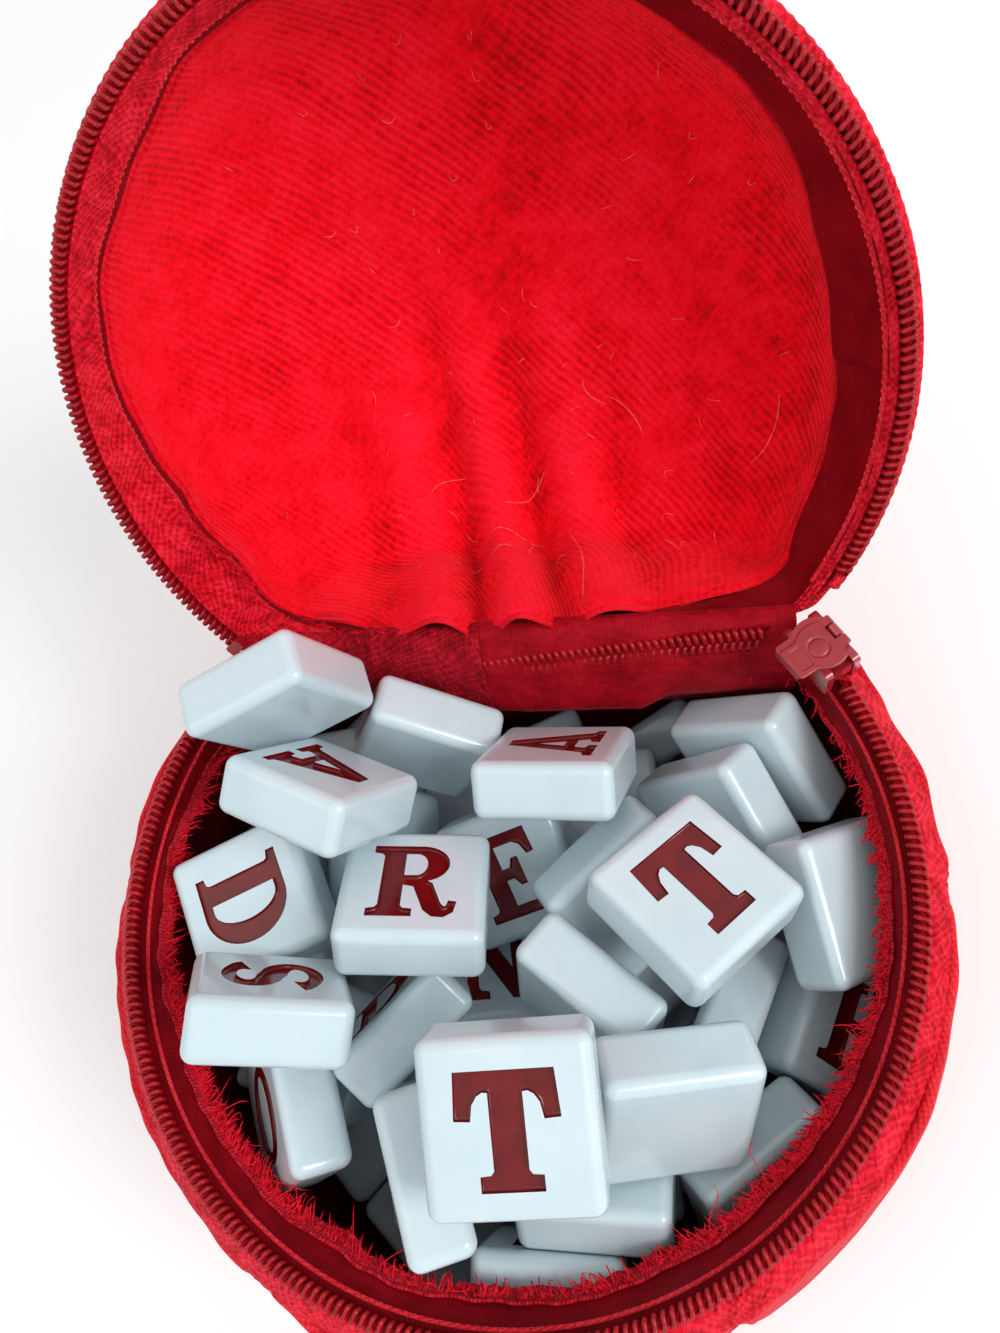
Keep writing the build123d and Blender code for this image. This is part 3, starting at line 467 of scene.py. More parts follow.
inward = np.clip(folds + slack + swell, -1.6, 5) * np.clip(1.15 - share, 0, 1) ** 0.3
upright = np.clip((north - 6) / 18, 0, 1)
rise = rise - inward * (1 - 0.6 * upright)
radius = radius - 0.3 * inward * rim_share
plush_points = polar(radius, plush_azimuth[:, None], rise)
plush_points[..., 1] -= upright * np.clip(1.25 - share, 0, 1) ** 0.4 * np.clip(folds, -2.2, 6)
tuck = plush_points[:, -1:] * [0.985, 0.985, 1] + [0, 0, 0.9]
points = np.concatenate([plush_points, tuck], axis=1)
full_turn = np.append(turn, [[2 * math.pi]], axis=0)
reach = np.append(bowl_along, bowl_along[-1] + 1.2)[None, :]
cloth = np.stack([reach * np.cos(full_turn), reach * np.sin(full_turn)], axis=-1)
plush = cloth_material("plush", (0.48, 0.0003, 0.003), (0.90, 0.0014, 0.011), (1.0, 0.010, 0.034),
                       pitch=1.25, angle=44, rib=0.7, pile=1.1, fineness=1.3, stretch=1.8,
                       roughness=0.8, sheen=0.35, depth=0.36, wander=2.5, broken=0.0, wear=0.9)
mesh = grid_mesh("plush_bowl", placed(points, "pouch_lid"), cloth, closed=True)
# Painted light and shade on the plush, which its material adds to the colour: lighter on the ridges of the
# folds and darker in their valleys, darker along a broad slanting band down the middle that is strongest
# far from the hinge, darker towards the right where the side wall shades it, and a little lighter overall.
painted_band_shade = np.exp(-((east - 3 + north / 6) / 8) ** 2) * np.clip((16 - north) / 40, 0, 1)
painted_shading = 0.34 * wave - 0.22 * painted_band_shade - 0.20 * np.clip((east - 18) / 22, 0, 1) + 0.12
painted_shading = np.concatenate([painted_shading, painted_shading[:, -1:]], axis=1)
mesh.attributes.new("painted_shading", "FLOAT", "POINT").data.foreach_set("value", painted_shading.astype(np.float32).ravel())
solidify(add("plush_bowl", mesh, plush, "pouch_lid", "plush", "lid_plush_lining"), 1.0, 1.0)

# --- Zip tapes ------------------------------------------------------------------------------------
# Knitted tape that carries each row of the zip. On the base it slopes down and out from the teeth
# and goes behind the folded edge. On the lid one tape turns straight up inside the side; it shows
# as a broad knitted strip on the left and as a narrow one on the right.
tape_knit = cloth_material("zip_tape", (0.42, 0.001, 0.006), (0.80, 0.006, 0.026), (0.98, 0.032, 0.065),
                           pitch=0.95, angle=40, rib=0.6, pile=1.9, fineness=1.15, stretch=2.8,
                           roughness=0.5, sheen=0.3, depth=0.4, wander=9.0, broken=0.5)
TEETH, ROWS = 51.7, (144.1, 389.2)            # middle of the teeth, and where the rows start and end
STITCH_LINE = 52.0                            # radius at which lengths along the rim are reckoned
row_azimuth = np.linspace(ROWS[0] - 3.5, ROWS[1] + 3.0, 620)


def tape(name, profile, body, seed, *nodes):
    """Tape whose profile of (radius, height) is carried round the rim, with a knitted unevenness."""
    line, spots = resample(np.array(profile, float), 16)
    turn = np.radians(row_azimuth)[:, None]
    knit = 0.10 * np.sin(turn * 230 + 2 * np.sin(spots * 3.1)) * np.sin(spots * 4.2)
    slow = 0.25 * bumps(turn * 11, spots[None] / 4, seed=seed) * np.linspace(0, 1, 16)
    radius = wall_limit(line[None, :, 0] + knit + slow, row_azimuth[:, None], HINGE_Y + 0.6, 2.0)
    points = placed(polar(radius, row_azimuth[:, None], line[None, :, 1] + 0.06 * knit), body)
    cloth = np.stack([turn * STITCH_LINE * np.ones_like(spots), spots * np.ones_like(turn)], axis=-1)
    outwards = points[:, ::-1] if body == "pouch_lid" else points
    solidify(add(name, grid_mesh(name, outwards, cloth), tape_knit, body, "zip_tape", *nodes), 0.5)


base_slope = [(51.9, RIM_Z - 2.75), (53.0, RIM_Z - 2.9), (54.9, RIM_Z - 4.9), (54.8, RIM_Z - 9.3)]
tape("base_tape_cloth", base_slope, "pouch_base", 30, "base_zip_tape")
lid_slope = [(51.6, 2.6), (53.0, 2.9), (53.2, 4.2), (51.9, 6.5), (51.2, 9.4)]
tape("lid_tape_cloth", lid_slope, "pouch_lid", 31)


def band(name, azimuth, start, end, material, body, slot, wrinkle, seed, *nodes):
    """Cloth band between two rings of (radius, height), bulging slightly, with slanting wrinkles
    that grow from the first ring to the second."""
    share = np.linspace(0, 1, 22)[None, :]
    radius = start[0][:, None] * (1 - share) + end[0][:, None] * share
    height = start[1][:, None] * (1 - share) + end[1][:, None] * share
    turn = np.radians(azimuth)[:, None]
    crease = wrinkle * share * bumps(turn * 22 + share * 2.5, share * 2, seed=seed)
    points = polar(radius + crease + 0.25 * np.sin(math.pi * share), azimuth[:, None],
                   height + 0.3 * crease)
    width = np.hypot(start[0] - end[0], start[1] - end[1])[:, None]
    cloth = np.stack([turn * 50 * np.ones_like(share), share * width], axis=-1)
    mesh = grid_mesh(name, placed(points, body), cloth)
    solidify(add(name, mesh, material, body, slot, *nodes), 0.35, 0.0)


LIP_RADIUS, LIP_DROP, LIP_BACK, LIP_CORNER = 50.05, 2.7, 1.4, 3.0     # clear of the slider's plates
round_azimuth = np.linspace(0, 360, 541)
flat_ring = np.ones_like(round_azimuth)
lip = wall_limit(LIP_RADIUS * flat_ring, round_azimuth, HINGE_Y - LIP_BACK, LIP_CORNER)
edge_radius, edge_rise = plush_edge(round_azimuth)
foot = wall_limit(edge_radius + 0.25, round_azimuth, HINGE_Y - 1.7, PLUSH_CORNER)
broad = np.interp(round_azimuth, [0, 118, 140, 250, 285, 360], [0, 0, 1, 1, 0, 0])
tape_share = 0.1 + 0.78 * broad
tape_radius = lip + (foot - lip) * tape_share
tape_rise = 1.9 + np.maximum(edge_rise - 1.3, 0.3) * tape_share
band("lid_tape_inside", round_azimuth, (lip + 0.7, 1.7 * flat_ring), (tape_radius, tape_rise), tape_knit,
     "pouch_lid", "zip_tape", 0.12, 32, "lid_zip_tape")

# --- Smooth dark linings ----------------------------------------------------------------------------
# A band of smooth lining hangs inside each row of the zip: from the tape to the plush in the lid,
# widest on its right, and with a raw, frayed lower edge in the base. The base's bag is of the same
# cloth, and so is a narrow bead that is turned over at the top of each band.
lining = cloth_material("dark_lining", (0.09, 0.0003, 0.0015), (0.18, 0.0006, 0.004), (0.28, 0.002, 0.009),
                        pitch=0.5, angle=8, rib=0.35, pile=0.5, fineness=1.3, stretch=5.0,
                        roughness=0.6, sheen=0.1, depth=0.10)
band("lid_side_lining", round_azimuth, (tape_radius + 0.35, tape_rise - 0.3),
     (foot - 0.7, np.maximum(edge_rise + 0.2, 2.3)), lining, "pouch_lid", "dark_lining", 0.2, 8)
ragged = np.radians(round_azimuth)
hem = 0.8 * bumps(ragged * 9, 0, seed=12) + 0.5 * bumps(ragged * 34, 0, seed=13)
foot_reach = np.interp(round_azimuth, [0, 30, 150, 185, 215, 245, 275, 300, 325, 360],
                       [48.2, 48.6, 48.4, 48.0, 47.4, 46.8, 47.2, 46.8, 47.2, 48.2])
facing_foot = wall_limit(foot_reach + 0.7 + 0.25 * hem, round_azimuth, HINGE_Y - 2.2, LIP_CORNER)
facing_drop = np.interp(round_azimuth, [0, 40, 140, 190, 225, 300, 360], [6, 8, 7, 4.6, 6, 6.6, 6])
facing_level = RIM_Z - facing_drop + 0.8 * hem
facing_top = RIM_Z - np.interp(round_azimuth, [34, 46, 134, 146], [2.95, 4.2, 4.2, 2.95])
band("facing_band", round_azimuth, (lip, facing_top), (facing_foot, facing_level), lining,
     "pouch_base", "dark_lining", 0.35, 9, "base_facing")
under = wall_limit(TEETH * flat_ring, round_azimuth, HINGE_Y - 0.4, LIP_CORNER)
band("facing_ledge", round_azimuth, (under, facing_top - 0.1), (lip - 0.05, facing_top - 0.05), lining,
     "pouch_base", "dark_lining", 0.0, 10)

BAG_INSET, BAG_TOP = 2.4, RIM_Z - 6.0
bag, bag_along = resample(base_profile(BAG_INSET, BAG_TOP), 70)
bag_azimuth = np.linspace(0, 360, 181)[:-1]
radius = lean_back(bag, bag_azimuth, BASE_LEAN, BAG_INSET, -1)
wrinkle = 0.35 * bumps(np.radians(bag_azimuth)[:, None] * 9, bag[None, :, 1] / 8, seed=15)
points = polar(radius + wrinkle * (radius > 30), bag_azimuth[:, None], bag[None, :, 1])
turn = np.radians(np.append(bag_azimuth, 360))[:, None]
cloth = np.stack([45 * turn * np.ones_like(bag_along), bag_along * np.ones_like(turn)], axis=-1)
mesh = grid_mesh("bag_lining", points, cloth, closed=True)
solidify(add("bag_lining", mesh, lining, "pouch_base", "dark_lining", "base_lining"), 0.6)


def tubes(paths, radius, sides=5):
    """Round threads along many paths at once. Paths is (threads, points, 3); each point carries a
    ring of sides, square to the path, at a radius given for all, per thread or per point."""
    paths = np.asarray(paths, float)
    tangent = np.gradient(paths, axis=1)
    tangent /= np.maximum(np.linalg.norm(tangent, axis=2, keepdims=True), 1e-9)
    side = np.cross(tangent, [0.31, 0.17, 0.93])
    side /= np.maximum(np.linalg.norm(side, axis=2, keepdims=True), 1e-9)
    up = np.cross(side, tangent)
    turn = np.linspace(0, 2 * math.pi, sides + 1)[:-1]
    ring = np.cos(turn)[:, None] * side[:, :, None] + np.sin(turn)[:, None] * up[:, :, None]
    size = np.broadcast_to(np.asarray(radius, float), paths.shape[:2])[:, :, None, None]
    vertices = (paths[:, :, None] + size * ring).reshape(-1, 3)
    threads, rings = paths.shape[:2]
    t, r, s = np.meshgrid(np.arange(threads), np.arange(rings - 1), np.arange(sides), indexing="ij")
    first = (t * rings + r) * sides
    after = (s + 1) % sides
    faces = np.stack([first + s, first + after, first + sides + after, first + sides + s], axis=-1)
    return vertices, faces.reshape(-1, 4)


def thread(name, paths, size, sides, material, body, slot, *nodes, cloth=None):
    """Piece made of round threads. Where its material is a cloth's, the cloth coordinates run along
    and round each thread, multiplied by the number given."""
    vertices, faces = tubes(paths, size, sides)
    if cloth is not None:
        cloth = cloth * np.stack([faces // sides * 0.5, faces % sides * 0.4], axis=-1).reshape(-1, 2)
    return add(name, face_mesh(name, placed(vertices, body), faces, cloth), material, body, slot, *nodes)


on_row = (round_azimuth > ROWS[0] - 4) | (round_azimuth < ROWS[1] - 360 + 4)
row_order = np.flatnonzero(on_row[:-1])
row_order = row_order[np.argsort((round_azimuth[row_order] - 90) % 360)]
thread("base_lip", polar(lip, round_azimuth, RIM_Z - LIP_DROP)[None, row_order], 0.26, 8, twill,
       "pouch_base", "dark_lining", cloth=1)
thread("lid_lip", polar(tape_radius - 0.1, round_azimuth, tape_rise)[None, row_order], 0.3, 8, twill,
       "pouch_lid", "dark_lining", cloth=1)

# --- Frayed edges and stitches ------------------------------------------------------------------------
# The raw edge of the base's facing has come apart into short, bright threads, thickest at the front
# left and right; loose ends hang at the plush's lower corner and at the hinge. Rows of small
# stitches hold the tapes and run beside the seams, and a few stray hairs lie on the plush.
def mottled(name, deep, plain, cloud, grain=None, strength=0.0, height=0.0, spread=0.2, **values):
    """Material of two shades mixed by a noise in the object's own coordinates, with a bump from the
    same noise or from a finer one. A noise is given by its scale, detail and roughness. Gives the
    material, its shader and both noises."""
    material, tree, shader = new_material(name)
    where = tree.nodes.new("ShaderNodeTexCoord").outputs["Object"]
    shade = noise(where, *cloud)
    fine = noise(where, *grain) if grain else shade
    set_inputs(shader, Base_Color=ramp(shade, (0.5 - spread, deep), (0.5 + spread, plain)), **values)
    if strength:
        set_inputs(shader, Normal=bump(fine, strength, height))
    return material, shader, shade, fine


def spun(name, deep, plain, roughness):
    """Spun thread, with two shades along it."""
    return mottled(name, deep, plain, (1500, 2), None, 0.5, 0.03, 0.15, Roughness=roughness,
                   Specular_IOR_Level=0.15)[0]


red_thread = spun("loose_thread", (0.55, 0.002, 0.012), (0.90, 0.012, 0.035), 0.6)
stitch_thread = spun("stitch_thread", (0.62, 0.012, 0.030), (0.92, 0.060, 0.085), 0.5)
hair = spun("stray_hair", (0.80, 0.11, 0.07), (0.95, 0.28, 0.20), 0.5)
draw = np.random.default_rng(21)


def tapered(count, rings, size):
    """Radii of threads that run to a point at both ends, which closes them."""
    share = np.linspace(0, 1, rings)
    return size * np.minimum(1, 6 * np.minimum(share, 1 - share) + 0.04)[None, :] * np.ones((count, 1))


def around(count, *peaks):
    """Random azimuths gathered about peaks, each given as (azimuth, spread, part of the count)."""
    return np.concatenate([draw.normal(spot, spread, int(count * part))
                           for spot, spread, part in peaks]) % 360


def on_edge(azimuth, edge):
    """Radius and height at some azimuths of an edge that is given all round."""
    return [np.interp(azimuth % 360, round_azimuth, line) for line in edge]


def fray(name, spots, edge, length, drop, curl, size, body, slot):
    """Loose threads that leave an edge of (radius, height) inwards: each drops at its own angle,
    strays along the edge and curls as a sine that grows along it."""
    count, rings = len(spots), 7
    share = np.linspace(0, 1, rings)[None, :]
    angle = np.radians(draw.normal(drop, 22, count))[:, None]
    reach = (length * draw.uniform(0.35, 1.3, count))[:, None] * share
    stray = draw.normal(0, 0.7, count)[:, None] * reach
    swing, phase = draw.uniform(2, 6, count)[:, None], draw.uniform(0, 6, count)[:, None]
    bend = curl * share ** 1.5 * np.sin(share * swing + phase)
    first_radius, first_height = on_edge(spots, edge)
    radius = first_radius[:, None] - reach * np.cos(angle) + bend
    height = first_height[:, None] - reach * np.sin(angle) + 0.7 * bend
    turn = spots[:, None] + np.degrees((stray + bend) / 47)
    thread(name, polar(radius, turn, height), tapered(count, rings, size), 4, red_thread, body, slot)


spots = around(2400, (190, 22, 0.2), (222, 13, 0.25), (318, 16, 0.25), (270, 40, 0.2), (5, 14, 0.1))
fray("facing_fringe", spots, (facing_foot, facing_level + 0.3), 1.7, 50, 0.9, 0.09, "pouch_base",
     "zip_tape")
fuzzy = cloth_material("raw_edge", (0.34, 0.002, 0.008), (0.72, 0.006, 0.022), (0.95, 0.03, 0.06),
                       pitch=0.6, angle=70, rib=0.8, pile=1.3, fineness=2.6, stretch=3.0,
                       roughness=0.8, sheen=0.4, depth=0.5, wander=3.0, broken=1.0)
torn_azimuth = np.linspace(140, 400, 1300)
torn_turn = np.radians(torn_azimuth)
quick = 0.35 * bumps(torn_turn * 160, 0, seed=61) + 0.3 * bumps(torn_turn * 60, 0, seed=62)
torn_radius, torn_height = on_edge(torn_azimuth, (facing_foot, facing_level))
torn = 0.7 + 0.9 * np.interp(torn_azimuth % 360, [0, 30, 160, 190, 225, 255, 300, 330, 360],
                             [0.6, 0.2, 0.3, 1, 1.2, 0.5, 1.2, 1, 0.6])
band("facing_raw_edge", torn_azimuth, (torn_radius + 0.15, torn_height + 1.0),
     (torn_radius - 0.6 * torn + 0.5 * quick, torn_height - torn * (0.9 + quick)), fuzzy, "pouch_base",
     "dark_lining", 0.5, 63)
spots = around(44, (185, 25, 0.4), (228, 14, 0.4), (320, 18, 0.2))
fray("facing_threads", spots, (facing_foot, facing_level + 0.5), 4.4, 20, 1.2, 0.07, "pouch_base",
     "zip_tape")
spots = around(110, (152, 7, 0.8), (128, 6, 0.2))
fray("plush_threads", spots, (foot - 0.6, edge_rise - 0.8), 2.6, 75, 1.3, 0.08, "pouch_lid", "plush")


def stitches(name, starts, ends, size, body):
    """Short straight stitches between two arrays of points, pointed at both ends."""
    share = np.linspace(0, 1, 5)[None, :, None]
    paths = starts[:, None] * (1 - share) + ends[:, None] * share
    thread(name, paths, tapered(len(starts), 5, size), 5, stitch_thread, body, "zip_tape")


DEGREES = 57.3                                # in a radian


def ring_stitches(name, edge, pitch, part, size, body):
    """A row of stitches round the rim, along an edge of (radius, height)."""
    count = int(math.radians(ROWS[1] - ROWS[0]) * STITCH_LINE / pitch)
    first = np.linspace(ROWS[0] + 1, ROWS[1] - 1, count)
    ends = []
    for azimuth in (first, first + part * pitch / STITCH_LINE * DEGREES):
        radius, height = on_edge(azimuth, edge)
        ends.append(polar(radius, azimuth, height))
    stitches(name, *ends, size, body)


ring_stitches("base_tape_stitches", (53.6 * flat_ring, (RIM_Z - 2.95) * flat_ring), 1.4, 0.55, 0.10,
              "pouch_base")
ring_stitches("base_lip_stitches", (lip - 0.22, (RIM_Z - 2.64) * flat_ring), 1.1, 0.5, 0.06, "pouch_base")
ring_stitches("lid_lip_stitches", (tape_radius - 0.4, tape_rise - 0.1), 1.1, 0.5, 0.10, "pouch_lid")


def seam_stitches(name, line, lean, sign, seed, lowest, body):
    """Two rows of stitches beside each seam, laid on the gores where they are above a height."""
    used, spots = resample(line[line[:, 1] > lowest], 22)
    rows = []
    for index in range(GORES):
        points, _ = gore(index, used, spots, lean, sign, seed + index)
        rows += [points[2], points[-3]]
    rows = np.array(rows) * [1.001, 1.001, 1]
    starts, steps = rows[:, :-1].reshape(-1, 3), np.diff(rows, axis=1).reshape(-1, 3)
    stitches(name, starts, starts + 0.6 * steps, 0.13, body)


seam_stitches("base_seam_stitches", base_line, BASE_LEAN, -1, 20, 20, "pouch_base")
seam_stitches("lid_seam_stitches", lid_line[lid_line[:, 0] > 20], LID_LEAN, 1, 40, 5.5, "pouch_lid")


def stray_hairs(name, count, length, size, middle, spread):
    """Fine hairs on the plush: each is an arc in the cloth's own plane, carried to the bowl's
    surface by its reach and azimuth and lifted a little off it."""
    share = np.linspace(0, 1, 12)[None, :]
    heading = draw.uniform(0, 2 * math.pi, count)[:, None] + draw.normal(0, 0.9, count)[:, None] * share
    step = (length * draw.uniform(0.4, 1.5, count))[:, None] / 11
    centre = draw.normal(middle, spread, (count, 2))
    centre *= np.minimum(1, (bowl_along[-1] - 16) / np.hypot(*centre.T))[:, None]
    x = centre[:, :1] + np.cumsum(np.cos(heading) * step, axis=1)
    y = centre[:, 1:] + np.cumsum(np.sin(heading) * step, axis=1)
    row = np.degrees(np.arctan2(y, x)) % 360
    column = np.minimum(np.hypot(x, y) / bowl_along[-1] * (BOWL_COLUMNS - 1), BOWL_COLUMNS - 2)
    first, start = np.floor(row).astype(int), np.floor(column).astype(int)
    turned, along = (row - first)[..., None], (column - start)[..., None]
    spot = 0
    for next_row, part in ((0, 1 - turned), (1, turned)):
        row = plush_points[(first + next_row) % BOWL_ROWS, [start, start + 1]]
        spot = spot + part * ((1 - along) * row[0] + along * row[1])
    inwards = np.array([0, 0, 8]) - spot
    inwards /= np.linalg.norm(inwards, axis=-1, keepdims=True)
    paths = spot + (1.15 + 0.8 * np.sin(math.pi * share))[..., None] * inwards
    thread(name, paths, tapered(count, 12, size), 4, hair, "pouch_lid", "plush")


stray_hairs("plush_lint", 60, 1.8, 0.035, (8, 4), (26, 26))
stray_hairs("plush_hairs", 11, 11.0, 0.05, (7, 30), (15, 24))

# --- Zip coils ------------------------------------------------------------------------------------
# Each row is one nylon thread wound into a flattened coil, sewn along the tape's edge. The turns
# show as small bars across the row, with a shiny round loop at their outer ends.
coil_nylon = mottled("zip_coil", (0.24, 0.001, 0.005), (0.42, 0.003, 0.011), (900, 2), Roughness=0.32,
                     Specular_IOR_Level=0.3)[0]
PITCH, THREAD, LOOP, ROW_END = 1.08, 0.36, 0.80, ROWS[1] - 0.3
TURN_STEPS = 14                               # rings of the thread in each turn of a coil


def swelled(value, power):
    """A sine or cosine made squarer, for a superellipse."""
    return np.sign(value) * np.abs(value) ** power


def coil(name, level, body, flip, *nodes):
    """Coil thread: a superellipse in the radial plane, dented in its middle by the sewing, while
    the azimuth advances by one pitch for each turn."""
    turns = int(round(math.radians(ROW_END - ROWS[0]) * TEETH / PITCH))
    theta = np.linspace(0, turns * 2 * math.pi, turns * TURN_STEPS + 1)
    c, s = np.cos(theta), np.sin(theta)
    azimuth = ROWS[0] + (ROW_END - ROWS[0]) * (theta + 0.35 * s) / (turns * 2 * math.pi)
    dent = 1 - 0.5 * np.exp(-(c / 0.35) ** 2)
    radius = TEETH + 0.88 * LOOP * swelled(c, 0.6)
    path = polar(radius, azimuth, level + flip * 0.85 * LOOP * swelled(s, 0.75) * dent)
    size = THREAD * (0.9 + 0.25 * np.clip(c, 0, 1) ** 4)
    thread(name, path[None], size[None], 7, coil_nylon, body, "zip_coil", *nodes)


coil("base_coil", RIM_Z - 1.25, "pouch_base", 1, "base_zip_teeth")
coil("lid_coil", 1.25, "pouch_lid", -1, "lid_zip_teeth")


def core(name, level, body):
    """Cord that the coil is wound round: it fills the row, so that nothing shows between turns."""
    line = polar(TEETH, np.linspace(ROWS[0], ROW_END, 360), level)
    thread(name, line[None], 0.5, 8, lining, body, "zip_tape", cloth=0)


core("base_coil_core", RIM_Z - 1.35, "pouch_base")
core("lid_coil_core", 1.35, "pouch_lid")

# --- Hinge -------------------------------------------------------------------------------------------
# On the right half of the hinge the zip's sewn end stays closed: two rows of turns side by side that
# sag a little to the left, on smooth lining. On the left half a soft knitted strip joins the halves.
CHAIN_X, CHAIN_SAG, CHAIN_TILT = (-4.0, 35.65), 3.2, 65


def hinge_rows():
    """Closed end of the zip: two coils side by side that lean back with the hinge and sag."""
    start, end = CHAIN_X
    turns = int(round((end - start) / PITCH))
    theta = np.linspace(0, turns * 2 * math.pi, turns * TURN_STEPS + 1)
    c, s = np.cos(theta), np.sin(theta)
    x = start + (end - start) * (theta + 0.35 * s) / (turns * 2 * math.pi)
    sag = CHAIN_SAG * np.clip((end - x) / (end - start), 0, 1) ** 1.2
    tilt, through, rows = math.radians(CHAIN_TILT), 0.42 * swelled(s, 0.75), []
    for side in (-1, 1):
        across = side * (0.92 + 0.62 * swelled(c, 0.55))
        y = HINGE_Y - 0.7 - 0.45 * sag + across * math.cos(tilt) - through * math.sin(tilt)
        z = RIM_Z - 0.4 - sag + across * math.sin(tilt) + through * math.cos(tilt)
        rows.append(np.stack([x + 0.3 * PITCH * side, y, z], axis=-1))
    return np.array(rows)


thread("hinge_coils", hinge_rows(), THREAD, 7, coil_nylon, "pouch_base", "zip_coil", "hinge_chain")
soft_knit = cloth_material("hinge_knit", (0.16, 0.0008, 0.004), (0.36, 0.002, 0.012), (0.58, 0.012, 0.032),
                           pitch=0.9, angle=72, rib=0.45, pile=1.7, fineness=1.3, stretch=2.8,
                           roughness=0.6, sheen=0.2, depth=0.35, wander=8.0, broken=0.3)
hinge_lining = cloth_material("hinge_lining", (0.15, 0.0005, 0.003), (0.30, 0.0012, 0.008),
                              (0.46, 0.006, 0.018), pitch=0.5, angle=8, rib=0.25, pile=0.9,
                              fineness=1.3, stretch=2.0, roughness=0.6, sheen=0.15, depth=0.14)


def hinge_cloth(name, ends, line, material, seed, wrinkle, start, end, *nodes):
    """Strip of cloth along the hinge: its section (y, z from the hinge line) is carried along X,
    gathered into small upright folds and slack below the zip. Its start and its end are not
    used."""
    section, spots = resample(np.array(line, float), 40)
    x = np.linspace(*ends, 150)[:, None]
    slack = np.interp(x, [-39, -26, -10, -3, 4, 18, 22, 40], [0.4, 0.5, 1.0, 2.4, 3.0, 3.0, 0.8, 0.5])
    slack = slack * np.exp(-((section[None, :, 1] + 11.5) / 5) ** 2)
    fine = 0.3 * bumps(x / 0.9, spots[None] / 4, seed=seed + 1)
    push = wrinkle * (bumps(x / 2.2, spots[None] / 9.0, seed=seed) + fine)
    normal = np.gradient(section, axis=0)
    normal = np.stack([-normal[:, 1], normal[:, 0]], axis=1)
    normal /= np.linalg.norm(normal, axis=1, keepdims=True)
    y = HINGE_Y + section[None, :, 0] + push * normal[None, :, 0] - slack
    z = RIM_Z + section[None, :, 1] + push * normal[None, :, 1]
    points = np.stack(np.broadcast_arrays(x, y, z), axis=-1)
    cloth = np.stack(np.broadcast_arrays(x, spots[None]), axis=-1)
    piece = add(name, grid_mesh(name, points, cloth), material, None, "dark_lining", *nodes)
    solidify(piece, 0.3, 0.0)
    start, end = ((0, (HINGE_Y + back) * MM, (RIM_Z + up) * MM) for back, up in (start, end))
    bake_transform(piece)


hinge_cloth("hinge_strip_cloth", (-40.2, -3.6),
            [(0.4, -24.0), (-1.6, -16.0), (-3.2, -10.0), (-3.1, -6.0), (-2.5, -3.0), (-1.3, -0.9),
             (0.3, 0.5), (1.6, 1.0), (2.8, 1.0)],
            soft_knit, 50, 0.6, (-0.6, -1.2), (1.6, 0.9), "hinge_strip")
hinge_cloth("hinge_chain_tape", (-4.2, 39.8),
            [(0.3, -24.0), (-1.7, -16.0), (-3.3, -10.0), (-3.2, -6.0), (-2.7, -3.4), (-1.7, -1.9),
             (-0.2, 0.0), (0.9, 1.0), (2.2, 1.2), (3.2, 1.0)],
            hinge_lining, 52, 0.2, (-0.4, -0.4), (1.8, 1.1))

# --- Slider and puller ------------------------------------------------------------------------------
# Die-cast slider and puller, painted in two dark reds: the slider glossy, the puller satin.
# Their shapes are the CAD nodes themselves.
def painted(name, deep, plain, roughness, coat):
    """Paint on metal: slow patches of two reds, with a fine orange-peel bump."""
    material, shader, cloud, _ = mottled(name, deep, plain, (260, 4), (2600, 2), 0.25, 0.02,
                                         Coat_Weight=coat, Coat_Roughness=0.12)
    set_inputs(shader, Roughness=plus(times(cloud, 0.15), roughness - 0.07))
    return material


def finish_node(node, material):
    """Give a CAD node its material in place of the plain one."""
    piece = frame["nodes"][node]
    piece.data.materials.clear()
    piece.data.materials.append(material)


slider_paint = painted("slider_paint", (0.30, 0.012, 0.020), (0.42, 0.022, 0.035), 0.25, 0.6)
pull_paint = painted("pull_paint", (0.25, 0.014, 0.019), (0.34, 0.022, 0.029), 0.42, 0.1)
pin_paint = painted("pin_paint", (0.15, 0.01, 0.014), (0.22, 0.015, 0.02), 0.35, 0.2)
stop_nylon = painted("stop_nylon", (0.22, 0.004, 0.010), (0.34, 0.008, 0.016), 0.3, 0.3)
finish_node("slider_body", slider_paint)
finish_node("pull_tab", pull_paint)
finish_node("pull_pin", pin_paint)
finish_node("base_zip_stop", stop_nylon)
finish_node("lid_zip_stop", stop_nylon)
SLIDER_AT, PIN_AT, PULL_TOP, PULL_ENDS = 33.7, 53.675, 62.6, (1.05, 7.76)


